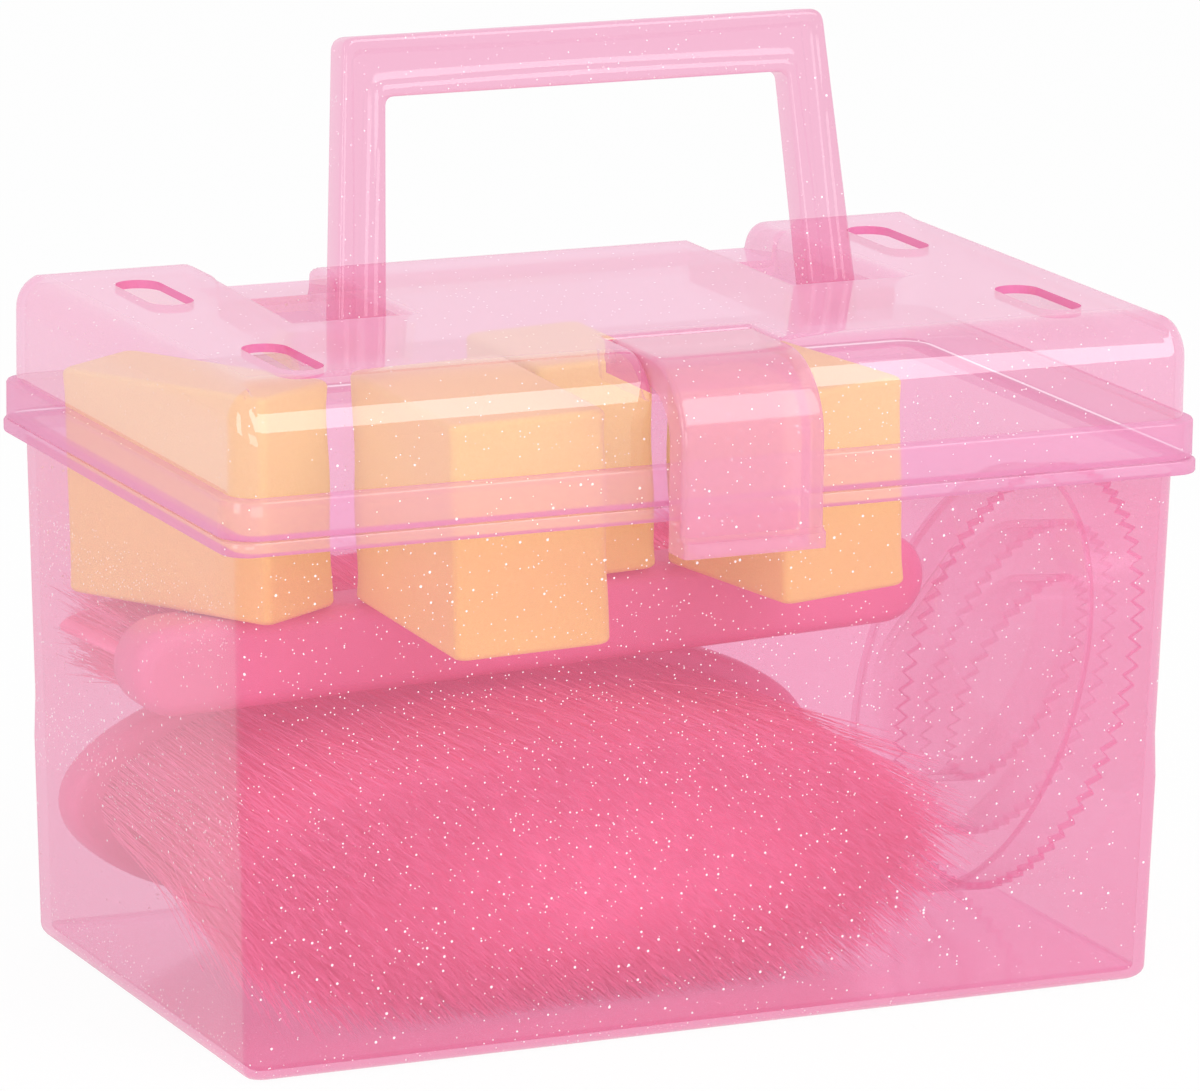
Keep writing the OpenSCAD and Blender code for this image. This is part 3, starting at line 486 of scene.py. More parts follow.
# %% Catch, ears and rods
hinge_y, hinge_z, knuckle_r, rod_r = 79.6, 126.4, 4.4, 2.4
hinge_sides = (-65.0, 65.0)
ear_half, ear_t = 10.5, 3.0
catch = [(-80.8, 120.4), (-80.8, 125.9), (-80.3, 126.4), (-74.0, 126.4), (-74.0, 120.4)]
ear_turn = np.linspace(-np.pi / 2, np.pi, 24)
ear = np.stack([hinge_y + knuckle_r * np.cos(ear_turn), hinge_z + knuckle_r * np.sin(ear_turn)], axis=-1)
ear = np.concatenate([ear, [(hinge_y - knuckle_r, hinge_z), (74.0, hinge_z), (74.0, hinge_z - knuckle_r)]])
hinge_parts = [prism_x(catch, -14.0, 14.0)]
for side in hinge_sides:
    for end in (-ear_half - ear_t, ear_half):
        hinge_parts.append(prism_x(ear, side + end, side + end + ear_t, 0.2))
    rod_half = ear_half + 0.1
    hinge_parts.append(tube_x(side - rod_half, side + rod_half, hinge_y, hinge_z, rod_r, edge=0.05))
points, faces = joined(hinge_parts)
make_piece("tub_fittings", points, faces, tub_plastic, "box")

# %% [markdown]
# ## The lid
# The lid's top is a height map with folded-down sides. A rectangle of grid lines covers the
# middle, and rings outside it follow one profile: round edge, wall and skirt. In each corner
# block the ring number is the larger of the two line numbers, so the rings run round the corner
# unbroken. The handle's channel and the clasp's notch are then pressed into the heights, and
# grid lines are set close together along their walls.

# %% Lid heights
lid_half_x, lid_half_y, lid_corner = 119.0, 72.0, 6.0
lid_top = 160.1
front_r, edge_r, back_r = 14.0, 8.5, 3.5
panel_x, panel_back, channel_front = 49.5, 55.5, -3.8
channel_half, channel_narrow, channel_run = 75.6, 2.7, 59.6
channel_floor, ledge_floor = 149.5, 153.3
ledge_y, ledge_half = 55.65, 72.2
skirt_top = 136.0
notch_x, notch_back, notch_floor = 18.2, -44.6, 151.8


def edge_drop(inset, radius):
    """How far a round edge lies below the top at an inset from the wall: a quarter circle."""
    rest = np.clip(radius - np.clip(inset, 0, None), 0, radius)
    return radius - np.sqrt(radius ** 2 - rest ** 2)


def channel_x(y):
    """Half width of the handle's channel: it narrows to the back and steps in at the ledge."""
    lean = np.clip((y - channel_front) / channel_run, 0, 1)
    return np.where(y < ledge_y + 0.15, channel_half - channel_narrow * lean, ledge_half)


def raised(distance, top, floor, radius):
    """Height beside a wall: the floor before it, a steep wall, then a round edge up to the top."""
    climb = floor + (top - radius - floor) * np.clip(distance / 0.3 + 1, 0, 1)
    return np.where(distance > 0, top - edge_drop(distance, radius), climb)


def press(x, y, z):
    """Press the channel and the notch into the heights; the highest neighbour's edge counts."""
    floor = np.where(y < ledge_y, channel_floor, ledge_floor)
    side = raised(np.abs(x) - channel_x(y), z, floor, 4.0)
    front = raised(channel_front - y, z, floor, 2.0)
    panel = raised(np.minimum(panel_x - np.abs(x), panel_back - y), z, floor, 2.0)
    channelled = np.maximum(np.maximum(side, front), panel)
    z = np.where(z > floor, np.maximum(channelled, floor), z)
    notched = raised(np.maximum(np.abs(x) - notch_x, y - notch_back), z, notch_floor, 1.2)
    return np.where(z > notch_floor, np.maximum(notched, notch_floor), z)


def lines(start, end, count):
    """Evenly spaced grid lines, both ends included."""
    return np.linspace(start, end, count)


wall_run = np.array([-0.32, 0.0, 0.02, 0.12, 0.35, 0.7, 1.0])
print("lid heights from", channel_floor, "to", lid_top)

# %% [markdown]
# Grid lines lie close together where the surface turns, and far apart where it is flat. Rings outside
# the grid fold the sides down. A Solidify modifier then gives the skin its thickness.

# %% Lid skin
notch_run = np.array([-0.32, 0, 0.05, 0.3, 0.7, 1.2])
edge_run = 2.0 * np.array([1.0, 0.7, 0.35, 0.12, 0.02, 0])
panel_run = 2.0 * wall_run[::-1] * np.where(wall_run[::-1] < 0, 0.5, 1)
x_inner = np.concatenate([lines(0, notch_x - 0.6, 4), notch_x + notch_run, lines(22, panel_x - 4, 6),
                          panel_x - panel_run])
shoulder_run = np.concatenate([[-0.32, 0.0], 4.0 * np.array([0.01, 0.06, 0.15, 0.3, 0.5, 0.75, 1.0])])
y_lines = np.concatenate([lines(-66, -58, 9), lines(-56.5, notch_back - 2, 5), notch_back + notch_run,
                          lines(-40, channel_front - 4, 9), channel_front - edge_run, [channel_front + 0.32],
                          lines(0, panel_back - 4, 12), panel_back - edge_run, [55.6, 55.7, 56.2],
                          lines(58, 66, 5)])
outer_now = channel_x(y_lines)
channel_lines = panel_x + (outer_now[:, None] - 0.4 - panel_x) * lines(0.15, 0.97, 6)[None, :]
shoulder_lines = outer_now[:, None] + shoulder_run[None, :]
rest_lines = outer_now[:, None] + 4.0 + (110.0 - outer_now[:, None] - 4.0) * lines(0.12, 1, 7)[None, :]
end_lines = np.broadcast_to(lines(110.6, 113, 5), (len(y_lines), 5))
inner_lines = np.broadcast_to(x_inner, (len(y_lines), len(x_inner)))
half = np.concatenate([inner_lines, channel_lines, shoulder_lines, rest_lines, end_lines], axis=1)
x_grid = np.concatenate([-half[:, :0:-1], half], axis=1)
y_grid = np.broadcast_to(y_lines[:, None], x_grid.shape)

fillet = lid_corner * np.array([0.82, 0.65, 0.5, 0.36, 0.24, 0.14, 0.06, 0.015, 0.0])
ring_inset = np.concatenate([fillet, [0, 0, 0, 0, 0, -1.6, -2.1, -2.4, -2.4, -2.4, -2.2]])
wall_share = np.array([0.2, 0.45, 0.7, 0.95, 1.0])
skirt_z = np.array([135.75, 135.6, 135.1, 131.0, 127.1, 126.7])


def ring_heights(radius):
    """Heights of the rings for one edge radius: round edge, wall down to the skirt, and the skirt."""
    wall_z = lid_top - radius + (skirt_top - lid_top + radius) * wall_share
    return np.concatenate([lid_top - edge_drop(fillet, radius), wall_z, skirt_z])


ring_side, ring_front, ring_rear = [ring_heights(r) for r in (edge_r, front_r, back_r)]
m = len(ring_inset)
rows, cols = x_grid.shape
full_i, full_j = np.meshgrid(np.arange(rows + 2 * m), np.arange(cols + 2 * m), indexing="ij")
in_i = np.clip(full_i - m, 0, rows - 1)
in_j = np.clip(full_j - m, 0, cols - 1)
out_i = np.where(full_i < m, m - full_i, np.where(full_i >= m + rows, full_i - m - rows + 1, 0))
out_j = np.where(full_j < m, m - full_j, np.where(full_j >= m + cols, full_j - m - cols + 1, 0))
ring = np.maximum(out_i, out_j)
lean = np.where(out_j >= out_i, np.pi / 4 * out_i / np.maximum(out_j, 1),
                np.pi / 2 - np.pi / 4 * out_j / np.maximum(out_i, 1))


def by_ring(values):
    """The value of each point's own ring, and nothing on the grid inside the rings."""
    return np.concatenate([[0], values])[ring]


reach = by_ring(lid_corner - ring_inset)
base_x = x_grid[in_i, in_j]
base_y = y_grid[in_i, in_j]
plan_x = base_x + np.sign(full_j - m - cols / 2) * reach * np.cos(lean) * (out_j > 0)
plan_y = base_y + np.sign(full_i - m - rows / 2) * reach * np.sin(lean) * (out_i > 0)
rear_share = np.where(full_i >= m + rows, lean / (np.pi / 2), 0.0)
front_share = np.where(full_i < m, lean / (np.pi / 2), 0.0)
side_drop = edge_drop(lid_half_x - np.abs(plan_x), edge_r)
front_drop = edge_drop(lid_half_y + plan_y, front_r)
rear_drop = edge_drop(lid_half_y - plan_y, back_r)
top_z = lid_top - np.maximum(np.maximum(side_drop, front_drop), rear_drop)
blended = by_ring(ring_side) * (1 - rear_share - front_share)
blended = blended + by_ring(ring_rear) * rear_share + by_ring(ring_front) * front_share
plan_z = np.where(ring == 0, top_z, blended)
plan_z = press(plan_x, plan_y, plan_z)
lid_points = np.stack([plan_x, plan_y, plan_z], axis=-1)
lid = make_piece("lid_shell", lid_points, grid_faces(*lid_points.shape[:2], wrap=False), lid_plastic,
                 "lid", ["lid"], smooth=50.0)
top_face = max(lid.data.polygons, key=lambda p: p.center.z)
if top_face.normal.z < 0:
    lid.data.flip_normals()
solid = lid.modifiers.new("wall", "SOLIDIFY")
solid.thickness = wall * MM
solid.offset = -1.0
solid.material_offset = 1
lid.data.materials.append(inner_skin)
print("lid grid", lid_points.shape[:2])

# %% [markdown]
# Four slots go through the lid's shoulders. A cutter with round ends is made for each, a Boolean
# cuts them through the finished wall, and the cutter is thrown away.

# %% Lid slots
def stadium(x, y, half_w, half_l, low, high, count=20):
    """Upright cutter: two half circles joined by straight sides."""
    turn = np.linspace(0, np.pi, count)
    far_end = np.stack([half_w * np.cos(turn), half_l - half_w + half_w * np.sin(turn)], axis=-1)
    outline = np.concatenate([far_end, -far_end])
    zero = np.zeros_like(outline)
    rings = np.stack([zero, outline, outline, zero]) + np.array([x, y])
    z = np.broadcast_to(np.array([low, low, high, high])[:, None, None], rings.shape[:2] + (1,))
    return np.concatenate([rings, z], axis=-1), grid_faces(4, 2 * count)


def apply_modifiers(piece):
    """Replace a piece's mesh by what its modifiers give."""
    graph = bpy.context.evaluated_depsgraph_get()
    graph.update()
    done = bpy.data.meshes.new_from_object(piece.evaluated_get(graph))
    piece.modifiers.clear()
    piece.data = done


apply_modifiers(lid)
slot_x, slot_y, slot_half_w, slot_half_l = 95.0, 39.5, 5.5, 15.5
points, faces = joined([stadium(sx * slot_x, sy * slot_y, slot_half_w, slot_half_l, 150.0, 170.0)
                        for sx in (-1, 1) for sy in (-1, 1)])
cutter = make_piece("slot_cutter", points, faces, lid_plastic, "lid")
cut = lid.modifiers.new("slots", "BOOLEAN")
cut.operation = "DIFFERENCE"
cut.solver = "EXACT"
cut.object = cutter
apply_modifiers(lid)
lid.data.materials.append(painted_shade_wall)
lid.data.materials.append(rim_plastic)
lid_index = np.empty(len(lid.data.polygons), np.int32)
lid.data.polygons.foreach_get("material_index", lid_index)
at_x, at_y, at_z = face_centres(lid.data).T
in_wall = (at_z > lid_top - wall + 0.3) & (at_z < lid_top - 0.3)
slot_wall = ((np.abs(np.abs(at_x) - slot_x) < slot_half_w + 0.2)
             & (np.abs(np.abs(at_y) - slot_y) < slot_half_l + 0.2) & in_wall)
notch_side = (np.abs(np.abs(at_x) - notch_x + 0.15) < 0.25) & (at_y < notch_back)
notch_end = (np.abs(at_y - notch_back + 0.15) < 0.25) & (np.abs(at_x) < notch_x)
notch_wall = (notch_side | notch_end) & (at_z > notch_floor + 0.1) & (lid_index == 0)
# The slot and notch walls take the deeper plastic, a painted shade in the slots and the notch.
lid_index = np.where(slot_wall | notch_wall, len(lid.data.materials) - 2, lid_index)
lid_index = np.where((lid_index == 0) & (at_z < skirt_top - 0.1), len(lid.data.materials) - 1, lid_index)
print("slot walls", int(slot_wall.sum()), "notch walls", int(notch_wall.sum()))
lid.data.polygons.foreach_set("material_index", lid_index.astype(np.int32))
print("lid materials", [m.name for m in lid.data.materials])
lid.data.set_sharp_from_angle(angle=np.radians(50.0))
bpy.data.objects.remove(cutter)
print("lid with slots", len(lid.data.polygons), "faces")

# %% [markdown]
# Open rings hook round the tub's two rods, and an arm ties each ring to the lid's skirt.

# %% Lid knuckles
open_ring = np.radians(np.linspace(-12, 257, 40))
knuckle_bore = 2.45
knuckle_half = ear_half - 0.5
round_hinge = np.stack([np.cos(open_ring), np.sin(open_ring)], axis=-1)
ring_out = np.array([hinge_y, hinge_z]) + knuckle_r * round_hinge
ring_bore = np.array([hinge_y, hinge_z]) + knuckle_bore * round_hinge


def ribbon_x(outline_a, outline_b, start, end):
    """Solid between two open outlines in the Y-Z plane that run side by side, carried along X."""
    a = np.asarray(outline_a)
    b = np.asarray(outline_b)
    ringed = np.stack([np.concatenate([np.full((len(a), 1), x), line], axis=1)
                       for line, x in ((a, start), (a, end), (b, end), (b, start), (a, start))])
    side = grid_faces(5, len(a), wrap=False)
    caps = [[k * len(a) + end_at for k in range(4)] for end_at in (0, len(a) - 1)]
    return ringed, side.tolist() + caps


knuckle_parts = []
for side in hinge_sides:
    knuckle_parts.append(ribbon_x(ring_out, ring_bore, side - knuckle_half, side + knuckle_half))
    arm = [(73.4, 128.85), (79.6, 128.85), (79.6, 130.75), (75.6, 130.75), (75.2, 131.3), (73.4, 131.3)]
    knuckle_parts.append(prism_x(arm, side - knuckle_half, side + knuckle_half, 0.2))
points, faces = joined(knuckle_parts)
make_piece("lid_knuckles", points, faces, lid_plastic, "lid")

# %% [markdown]
# ## The handle
# The handle is a bail: one flat bar, bent twice. An outer and an inner outline run side by side
# from the left foot to the right, and a section is stretched between them at every station. The
# section has a raised border on both faces with a sunk strip between.

# %% Handle
def round_path(corners, radius, run, arc=10):
    """Open path through corner points: straight runs, and an arc at each inner corner."""
    corners = np.asarray(corners, float)
    lead = corners[1:] - corners[:-1]
    lead = lead / np.linalg.norm(lead, axis=1, keepdims=True)
    pieces = []
    start = corners[0]
    for k in range(1, len(corners) - 1):
        cosine = np.clip(-lead[k - 1] @ lead[k], -1, 1)
        trim = radius / np.tan(np.arccos(cosine) / 2)
        enter = corners[k] - lead[k - 1] * trim
        leave = corners[k] + lead[k] * trim
        pieces.append(start + (enter - start) * np.linspace(0, 1, run, endpoint=False)[:, None])
        t = np.linspace(0, 1, arc)[:, None]
        pieces.append((1 - t) ** 2 * enter + 2 * t * (1 - t) * corners[k] + t ** 2 * leave)
        start = leave
    pieces.append(start + (corners[-1] - start) * np.linspace(0, 1, run + 1)[1:, None])
    return np.concatenate(pieces)


outer_path = round_path([(-66.5, 0), (-61, 69.2), (61, 69.2), (66.5, 0)], 3.5, 16)
inner_path = round_path([(-54.1, 0), (-51, 55), (51, 55), (54.1, 0)], 2.5, 16)
half_t, border, sunk, soft = 4.2, 3.6, 1.1, 1.3
width = np.linalg.norm(outer_path - inner_path, axis=1)
corner5 = np.radians(np.linspace(0, 90, 5))
from_inner = np.concatenate([soft - soft * np.cos(corner5),
                             [border - 0.4, border, border + 0.9, border + 1.5]])
depth_inner = np.concatenate([half_t - soft + soft * np.sin(corner5),
                              [half_t, half_t - 0.25, half_t - sunk + 0.2, half_t - sunk]])
across = np.concatenate([np.broadcast_to(from_inner, (len(width), len(from_inner))),
                         width[:, None] - from_inner[::-1][None, :]], axis=1)
depth = np.concatenate([depth_inner, depth_inner[::-1]])
across = np.concatenate([across, across[:, ::-1]], axis=1) / width[:, None]
depth = np.concatenate([depth, -depth[::-1]])
flat = inner_path[:, None, :] + (outer_path - inner_path)[:, None, :] * across[:, :, None]
handle_points = np.stack([flat[..., 0], np.broadcast_to(depth, flat.shape[:2]), flat[..., 1]], axis=-1)
foot_turn = np.radians([30, 55, 72, 84, 90])
foot_drop = half_t * np.sin(foot_turn)
foot_thin = np.cos(foot_turn) + 0.02


def foot(end):
    """Round the foot under the pivot: the section sinks and thins as a half circle does."""
    thin = np.clip(handle_points[end][None, :, 1], -half_t, half_t) * foot_thin[:, None]
    return np.stack([np.broadcast_to(handle_points[end][:, 0], thin.shape), thin,
                     np.broadcast_to(-foot_drop[:, None], thin.shape)], axis=-1)


handle_points = np.concatenate([foot(0)[::-1], handle_points, foot(-1)])
ends = handle_points[[0, -1]].mean(axis=1, keepdims=True)
handle_points = np.concatenate([np.broadcast_to(ends[:1], (1,) + handle_points.shape[1:]), handle_points,
                                np.broadcast_to(ends[1:], (1,) + handle_points.shape[1:])])
lean_back = np.radians(9.0)
pivot_y, pivot_z = 1.0, 154.0
stub_in, stub_out, stub_r = 60.0, 77.2, 2.6


def stand_handle(p):
    """Lean the handle back about its pivots and set it in place."""
    y = p[..., 1] * np.cos(lean_back) + p[..., 2] * np.sin(lean_back)
    z = p[..., 2] * np.cos(lean_back) - p[..., 1] * np.sin(lean_back)
    return np.stack([p[..., 0], y + pivot_y, z + pivot_z], axis=-1)


bail = (stand_handle(handle_points), grid_faces(len(handle_points), handle_points.shape[1]))
stubs = [tube_x(*span, pivot_y, pivot_z, stub_r) for span in ((-stub_out, -stub_in), (stub_in, stub_out))]
points, faces = joined([bail] + stubs)
make_piece("handle_bail", points, faces, handle_plastic, "handle", ["handle"])

# %% [markdown]
# ## The clasp
# The clasp is a shallow channel: a face plate with two cheeks. That C-shaped section is carried
# along a path that runs forward over the lid, bends down over the front edge and ends in a lip
# for the finger.

# %% Clasp
clasp_half, plate_t, cheek_t, cheek_d = 17.7, 2.4, 2.7, 7.0
clasp_y, clasp_z, clasp_skin = -49.0, 156.22, 160.12
bend_y, bend_r, clasp_low = -68.0, 18.5, 117.3
clasp_edge, lip_out, lip_h, lip_run = 1.2, 1.8, 4.4, 0.9
bend = np.radians(np.linspace(90, 180, 22))
path_y = np.concatenate([lines(clasp_y, bend_y + 1, 8), bend_y + bend_r * np.cos(bend),
                         np.full(14, bend_y - bend_r)])
path_z = np.concatenate([np.full(8, clasp_skin), clasp_skin - bend_r + bend_r * np.sin(bend),
                         lines(clasp_skin - bend_r - 1, 122.6, 8),
                         [121.8, 121.2, 120.8, 119.4, 118.0, clasp_low]])
out_y = np.concatenate([np.zeros(8), np.cos(bend), np.full(14, -1.0)])
out_z = np.concatenate([np.ones(8), np.sin(bend), np.zeros(14)])
round1 = np.radians(np.linspace(0, 90, 5))
edge_t = clasp_half - clasp_edge + clasp_edge * np.sin(round1)
edge_n = clasp_edge - clasp_edge * np.cos(round1)
cheek_in = clasp_half - cheek_t
section_t = np.concatenate([[0, 6, 12, 15], edge_t, [clasp_half, clasp_half, cheek_in, cheek_in, 8, 0]])
section_n = np.concatenate([[0, 0, 0, 0], edge_n, [4, cheek_d, cheek_d, plate_t, plate_t, plate_t]])
section_t = np.concatenate([section_t, -section_t[-2:0:-1]])
section_n = np.concatenate([section_n, section_n[-2:0:-1]])
drop = path_z - clasp_low
lip = lip_out * np.clip((lip_h - drop) / lip_run, 0, 1) * (out_y < -0.99)
inward = section_n[None, :] - lip[:, None] * (section_n[None, :] < 2)
clasp_points = np.stack([np.broadcast_to(section_t, (len(path_y), len(section_t))),
                         path_y[:, None] - out_y[:, None] * inward,
                         path_z[:, None] - out_z[:, None] * section_n[None, :]], axis=-1)
shell_faces = grid_faces(len(path_y), len(section_t)).tolist()
n = len(section_t)
end_caps = [list(range(n)), list(range((len(path_y) - 1) * n, len(path_y) * n))]
hook = [(-86.2, 117.4), (-86.2, 119.7), (-81.6, 119.7), (-81.1, 119.2), (-81.1, 117.4)]
barrel_r, pin_half, pin_r = 3.9, 19.7, 1.6
points, faces = joined([tube_x(-clasp_half, clasp_half, clasp_y, clasp_z, barrel_r),
                        tube_x(-pin_half, pin_half, clasp_y, clasp_z, pin_r), prism_x(hook, -14, 14, 0.2)])
count = len(points)
faces = faces + [[v + count for v in face] for face in shell_faces + end_caps]
points = np.concatenate([points, clasp_points.reshape(-1, 3)])
make_piece("clasp_cover", points, faces, clasp_plastic, "clasp", ["clasp"])

# %% [markdown]
# ## The sponges
# Four blocks of yellow foam are cut from a bigger slab. Each is a stack of rounded rectangles with
# softened edges, and a slow wave bows its faces a little, as a foam cutter's wire does. They stand
# on the dandy brush, which lies a little tipped.

# %% Sponges
tilt = np.radians(2.0)
shelf_z = 91.04


def tip_up(p, height):
    """The tipped frame of the dandy brush, at a height over the floor."""
    return np.stack([p[..., 0] * np.cos(tilt) - p[..., 2] * np.sin(tilt), p[..., 1],
                     p[..., 0] * np.sin(tilt) + p[..., 2] * np.cos(tilt) + height], axis=-1)


def sponge(node, w, d, h, x, y, turn):
    """Foam block: rings of a rounded rectangle, drawn in at the bottom and top edges."""
    edge, corner, bowing = 1.6, 2.2, 0.35
    a = np.radians(np.linspace(90, 0, 6))
    inset = np.concatenate([edge * (1 - np.cos(a)), np.zeros(16), edge * (1 - np.cos(a[::-1]))])
    low_edge = edge * (1 - np.sin(a))
    z = np.concatenate([low_edge, np.linspace(3, h - 3, 16), h - low_edge[::-1]])
    rings = rounded_loops(w / 2 - inset, d / 2 - inset, np.full(len(z), corner), z, arc=5, side=14)
    shrink = np.linspace(0, 0.92, 7)
    p = np.concatenate([closing(rings[0], shrink), rings, closing(rings[-1], shrink[::-1])])
    inside = np.clip(np.minimum(p[..., 2], h - p[..., 2]) / 6, 0, 1)
    wave = np.sin(p[..., 2] * 0.21 + x) * np.cos(p[..., 0] * 0.17 + p[..., 1] * 0.13 + y)
    bow = -bowing * inside * (1 + wave)
    reach = np.hypot(p[..., 0], p[..., 1]) + 1e-6
    p = p * np.stack([1 + bow / reach, 1 + bow / reach, np.ones_like(bow)], axis=-1)
    c, s = np.cos(np.radians(turn)), np.sin(np.radians(turn))
    p = np.stack([p[..., 0] * c - p[..., 1] * s + x, p[..., 0] * s + p[..., 1] * c + y, p[..., 2]], axis=-1)
    made = make_piece(node + "_foam", tip_up(p, shelf_z), grid_faces(len(p), p.shape[1]), foam, "box",
                      [node])


bar_front = 8.61
sponge("sponge_left", 25, 62, 54, -86.5, bar_front + 22.5, 28)
sponge("sponge_front", 38.14, 66, 55, -37.44, bar_front - 33 + 4, -2)
sponge("sponge_right", 34, 52, 50, 43.5, bar_front - 26 + 4, 8)
sponge("sponge_rear", 30, 44, 52, 4.5, bar_front - 3 + 22, 0)

# %% [markdown]
# ## The brushes
# Each brush is a smooth back and thousands of hairs. A hair is a thin three-sided spike that bends
# a little. All of them are worked out together: an array of roots, an array of directions and a few
# rings along each hair.

# %% Bristle helper
def hairs(roots, aims, lengths, radius, rng, rings=2):
    """Bent spikes: the centre line is root plus aim times length, with a sideways pull that grows
    with the square of the way along; the radius shrinks to the tip."""
    stray, taper = 0.045, 0.72
    n = len(roots)
    t = np.linspace(0, 1, rings + 1)
    aims = aims / np.linalg.norm(aims, axis=1, keepdims=True)
    helper = np.where(np.abs(aims[:, 2:3]) < 0.9, np.array([[0, 0, 1.0]]), np.array([[1.0, 0, 0]]))
    first = np.cross(aims, helper)
    first = first / np.linalg.norm(first, axis=1, keepdims=True)
    second = np.cross(aims, first)
    pull = rng.normal(0, stray, (n, 2)) * lengths[:, None]
    middle = roots[:, None] + aims[:, None] * (lengths[:, None] * t)[:, :, None]
    middle = middle + (first * pull[:, :1] + second * pull[:, 1:])[:, None] * (t ** 2)[None, :, None]
    turn = np.linspace(0, 2 * np.pi, 3, endpoint=False)
    thick = radius * (1 - taper * t)
    round_off = (first[:, None, None] * np.cos(turn)[None, None, :, None]
                 + second[:, None, None] * np.sin(turn)[None, None, :, None])
    points = middle[:, :, None] + round_off * thick[None, :, None, None]
    one = grid_faces(rings + 1, 3)
    start = (np.arange(n) * 3 * (rings + 1))[:, None, None]
    sides = (one[None] + start).reshape(-1, 4).tolist()
    caps = np.array([[0, 1, 2], [3 * rings, 3 * rings + 1, 3 * rings + 2]])
    return points.reshape(-1, 3), sides + (caps[None] + start).reshape(-1, 3).tolist()


def bristle_piece(name, points, faces, node, hair_count, rng):
    """Hairs as one mesh, each with its own tone in an attribute."""
    mesh = bpy.data.meshes.new(name)
    mesh.from_pydata((points * MM).tolist(), [], faces)
    mesh.shade_smooth()
    tone = mesh.attributes.new("tone", "FLOAT", "POINT")
    tones = np.repeat(rng.random(hair_count), len(points) // hair_count)
    tone.data.foreach_set("value", tones.astype(np.float32))
    mesh.materials.append(bristle)
    piece = bpy.data.objects.new(name, mesh)
    bpy.context.scene.collection.objects.link(piece)
    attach(piece, "box")
    if node:
        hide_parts(node)
    print(name, hair_count, "hairs,", len(faces), "faces")


# %% [markdown]
# The body brush stands on its long edge at the back of the tub with its hairs to the front. Its
# back is an oval pad: rings of an ellipse that swell from the hair side and close in a low dome.

# %% Body brush
body_x, body_y, body_z = -15.7, 47.95, 35.3
body_a, body_b = 97.0, 33.0
turn96 = np.linspace(0, 2 * np.pi, 96, endpoint=False)
dome = np.radians(np.linspace(0, 90, 12))
pad_in = np.concatenate([[97, 60, 20, 3.0, 1.4, 0.4, 0.0, 0.0], 16 * (1 - np.cos(dome[1:])), [60, 97]])
pad_d = np.concatenate([[0, 0, 0, 0, 0.5, 1.6, 3.2, 8.0], 8.0 + 9.0 * np.sin(dome[1:]), [17.0, 17.0]])
pad_u = np.clip(body_a - pad_in, 0, None)
pad_v = np.clip(body_b - pad_in * np.where(pad_in > 16.5, body_b / body_a, 1), 0, None)
oval = np.stack([pad_u[:, None] * np.cos(turn96), np.broadcast_to(pad_d[:, None], (len(pad_d), 96)),
                 pad_v[:, None] * np.sin(turn96)], axis=-1)
oval = oval + np.array([body_x, body_y, body_z])
make_piece("body_brush_pad", oval, grid_faces(len(oval), 96), brush_back, "box",
           ["body_brush_back"])

# %% [markdown]
# Real hairs stand so close that no light falls between them. A smooth core of the same colour fills the
# middle of the field, and the hairs cover it; without it the gaps would look black.

# %% Body brush hairs
def hair_core(name, half_l, half_w, deep, node_frame, dome, flare):
    """Filled middle of a hair field: ovals that widen from the back and close in a low dome at the tips."""
    front = np.array([0.995, 0.98, 0.95, 0.9, 0.8, 0.65, 0.45, 0.2, 0.0])
    size = np.concatenate([[0.0, 0.6], np.ones(8), front])
    side = deep * (1 - dome) * np.linspace(0, 0.97, 8)
    along = np.concatenate([[0.0, 0.0], side, deep * (1 - dome * front ** 4)])
    widen = size * (1 + flare * along / deep)
    ring = np.stack([half_l * widen[:, None] * np.cos(turn96), half_w * widen[:, None] * np.sin(turn96),
                     np.broadcast_to(along[:, None], (len(along), 96))], axis=-1)
    core = make_piece(name, node_frame(ring), grid_faces(len(ring), 96), bristle, "box")
    tone = core.data.attributes.new("tone", "FLOAT", "POINT")
    tone.data.foreach_set("value", np.random.default_rng(3).uniform(0.1, 0.7, len(core.data.vertices)))
    return core


def sag(run):
    """How far a hair hangs at a run from its root: it grows with the square of the run."""
    return 0.0005 * run ** 2


def body_frame(p):
    """Place along, across and out of the body brush's hair side, in the box."""
    return np.stack([body_x + p[..., 0], body_y + 0.3 - p[..., 2],
                     body_z + p[..., 1] - sag(p[..., 2])], axis=-1)


hair_core("body_brush_core", 86.0, 27.5, 84.0, body_frame, 0.10, 0.02)
rng = np.random.default_rng(5)
body_hairs, field_a, field_b = 12500, 89.5, 28.3
body_hair_l, body_hair_r = 90.0, 0.18
for part in ("left", "right"):
    ring_r = rng.random(body_hairs) ** 0.42
    ring_a = rng.random(body_hairs) * np.pi + (np.pi / 2 if part == "left" else -np.pi / 2)
    root_u = ring_r * np.cos(ring_a)
    root_v = ring_r * np.sin(ring_a)
    roots = body_frame(np.stack([field_a * root_u, field_b * root_v, np.zeros(body_hairs)], axis=-1))
    spread = np.where(root_u < 0, 0.03, -0.005)
    aims = np.stack([spread * root_u + rng.normal(0, 0.028, body_hairs), np.full(body_hairs, -1.0),
                     np.where(root_v < 0, 0.08, 0.02) * root_v + rng.normal(0, 0.02, body_hairs)], axis=-1)
    lengths = body_hair_l * (1 + 0.08 * np.clip(-root_u, 0, 1)) * rng.uniform(0.93, 1.04, body_hairs)
    points, faces = hairs(roots, aims, lengths, body_hair_r, rng)
    points[:, 2] = points[:, 2] - sag(body_y - points[:, 1])
    lift = np.clip(floor_z + 1.2 - points[:, 2], 0, None)
    points[:, 2] = np.where(lift > 0, floor_z + 0.3 + 0.9 * np.exp(-lift), points[:, 2])
    replaced = "body_brush_bristles" if part == "left" else None
    bristle_piece("body_brush_hair_" + part, points, faces, replaced, body_hairs, rng)

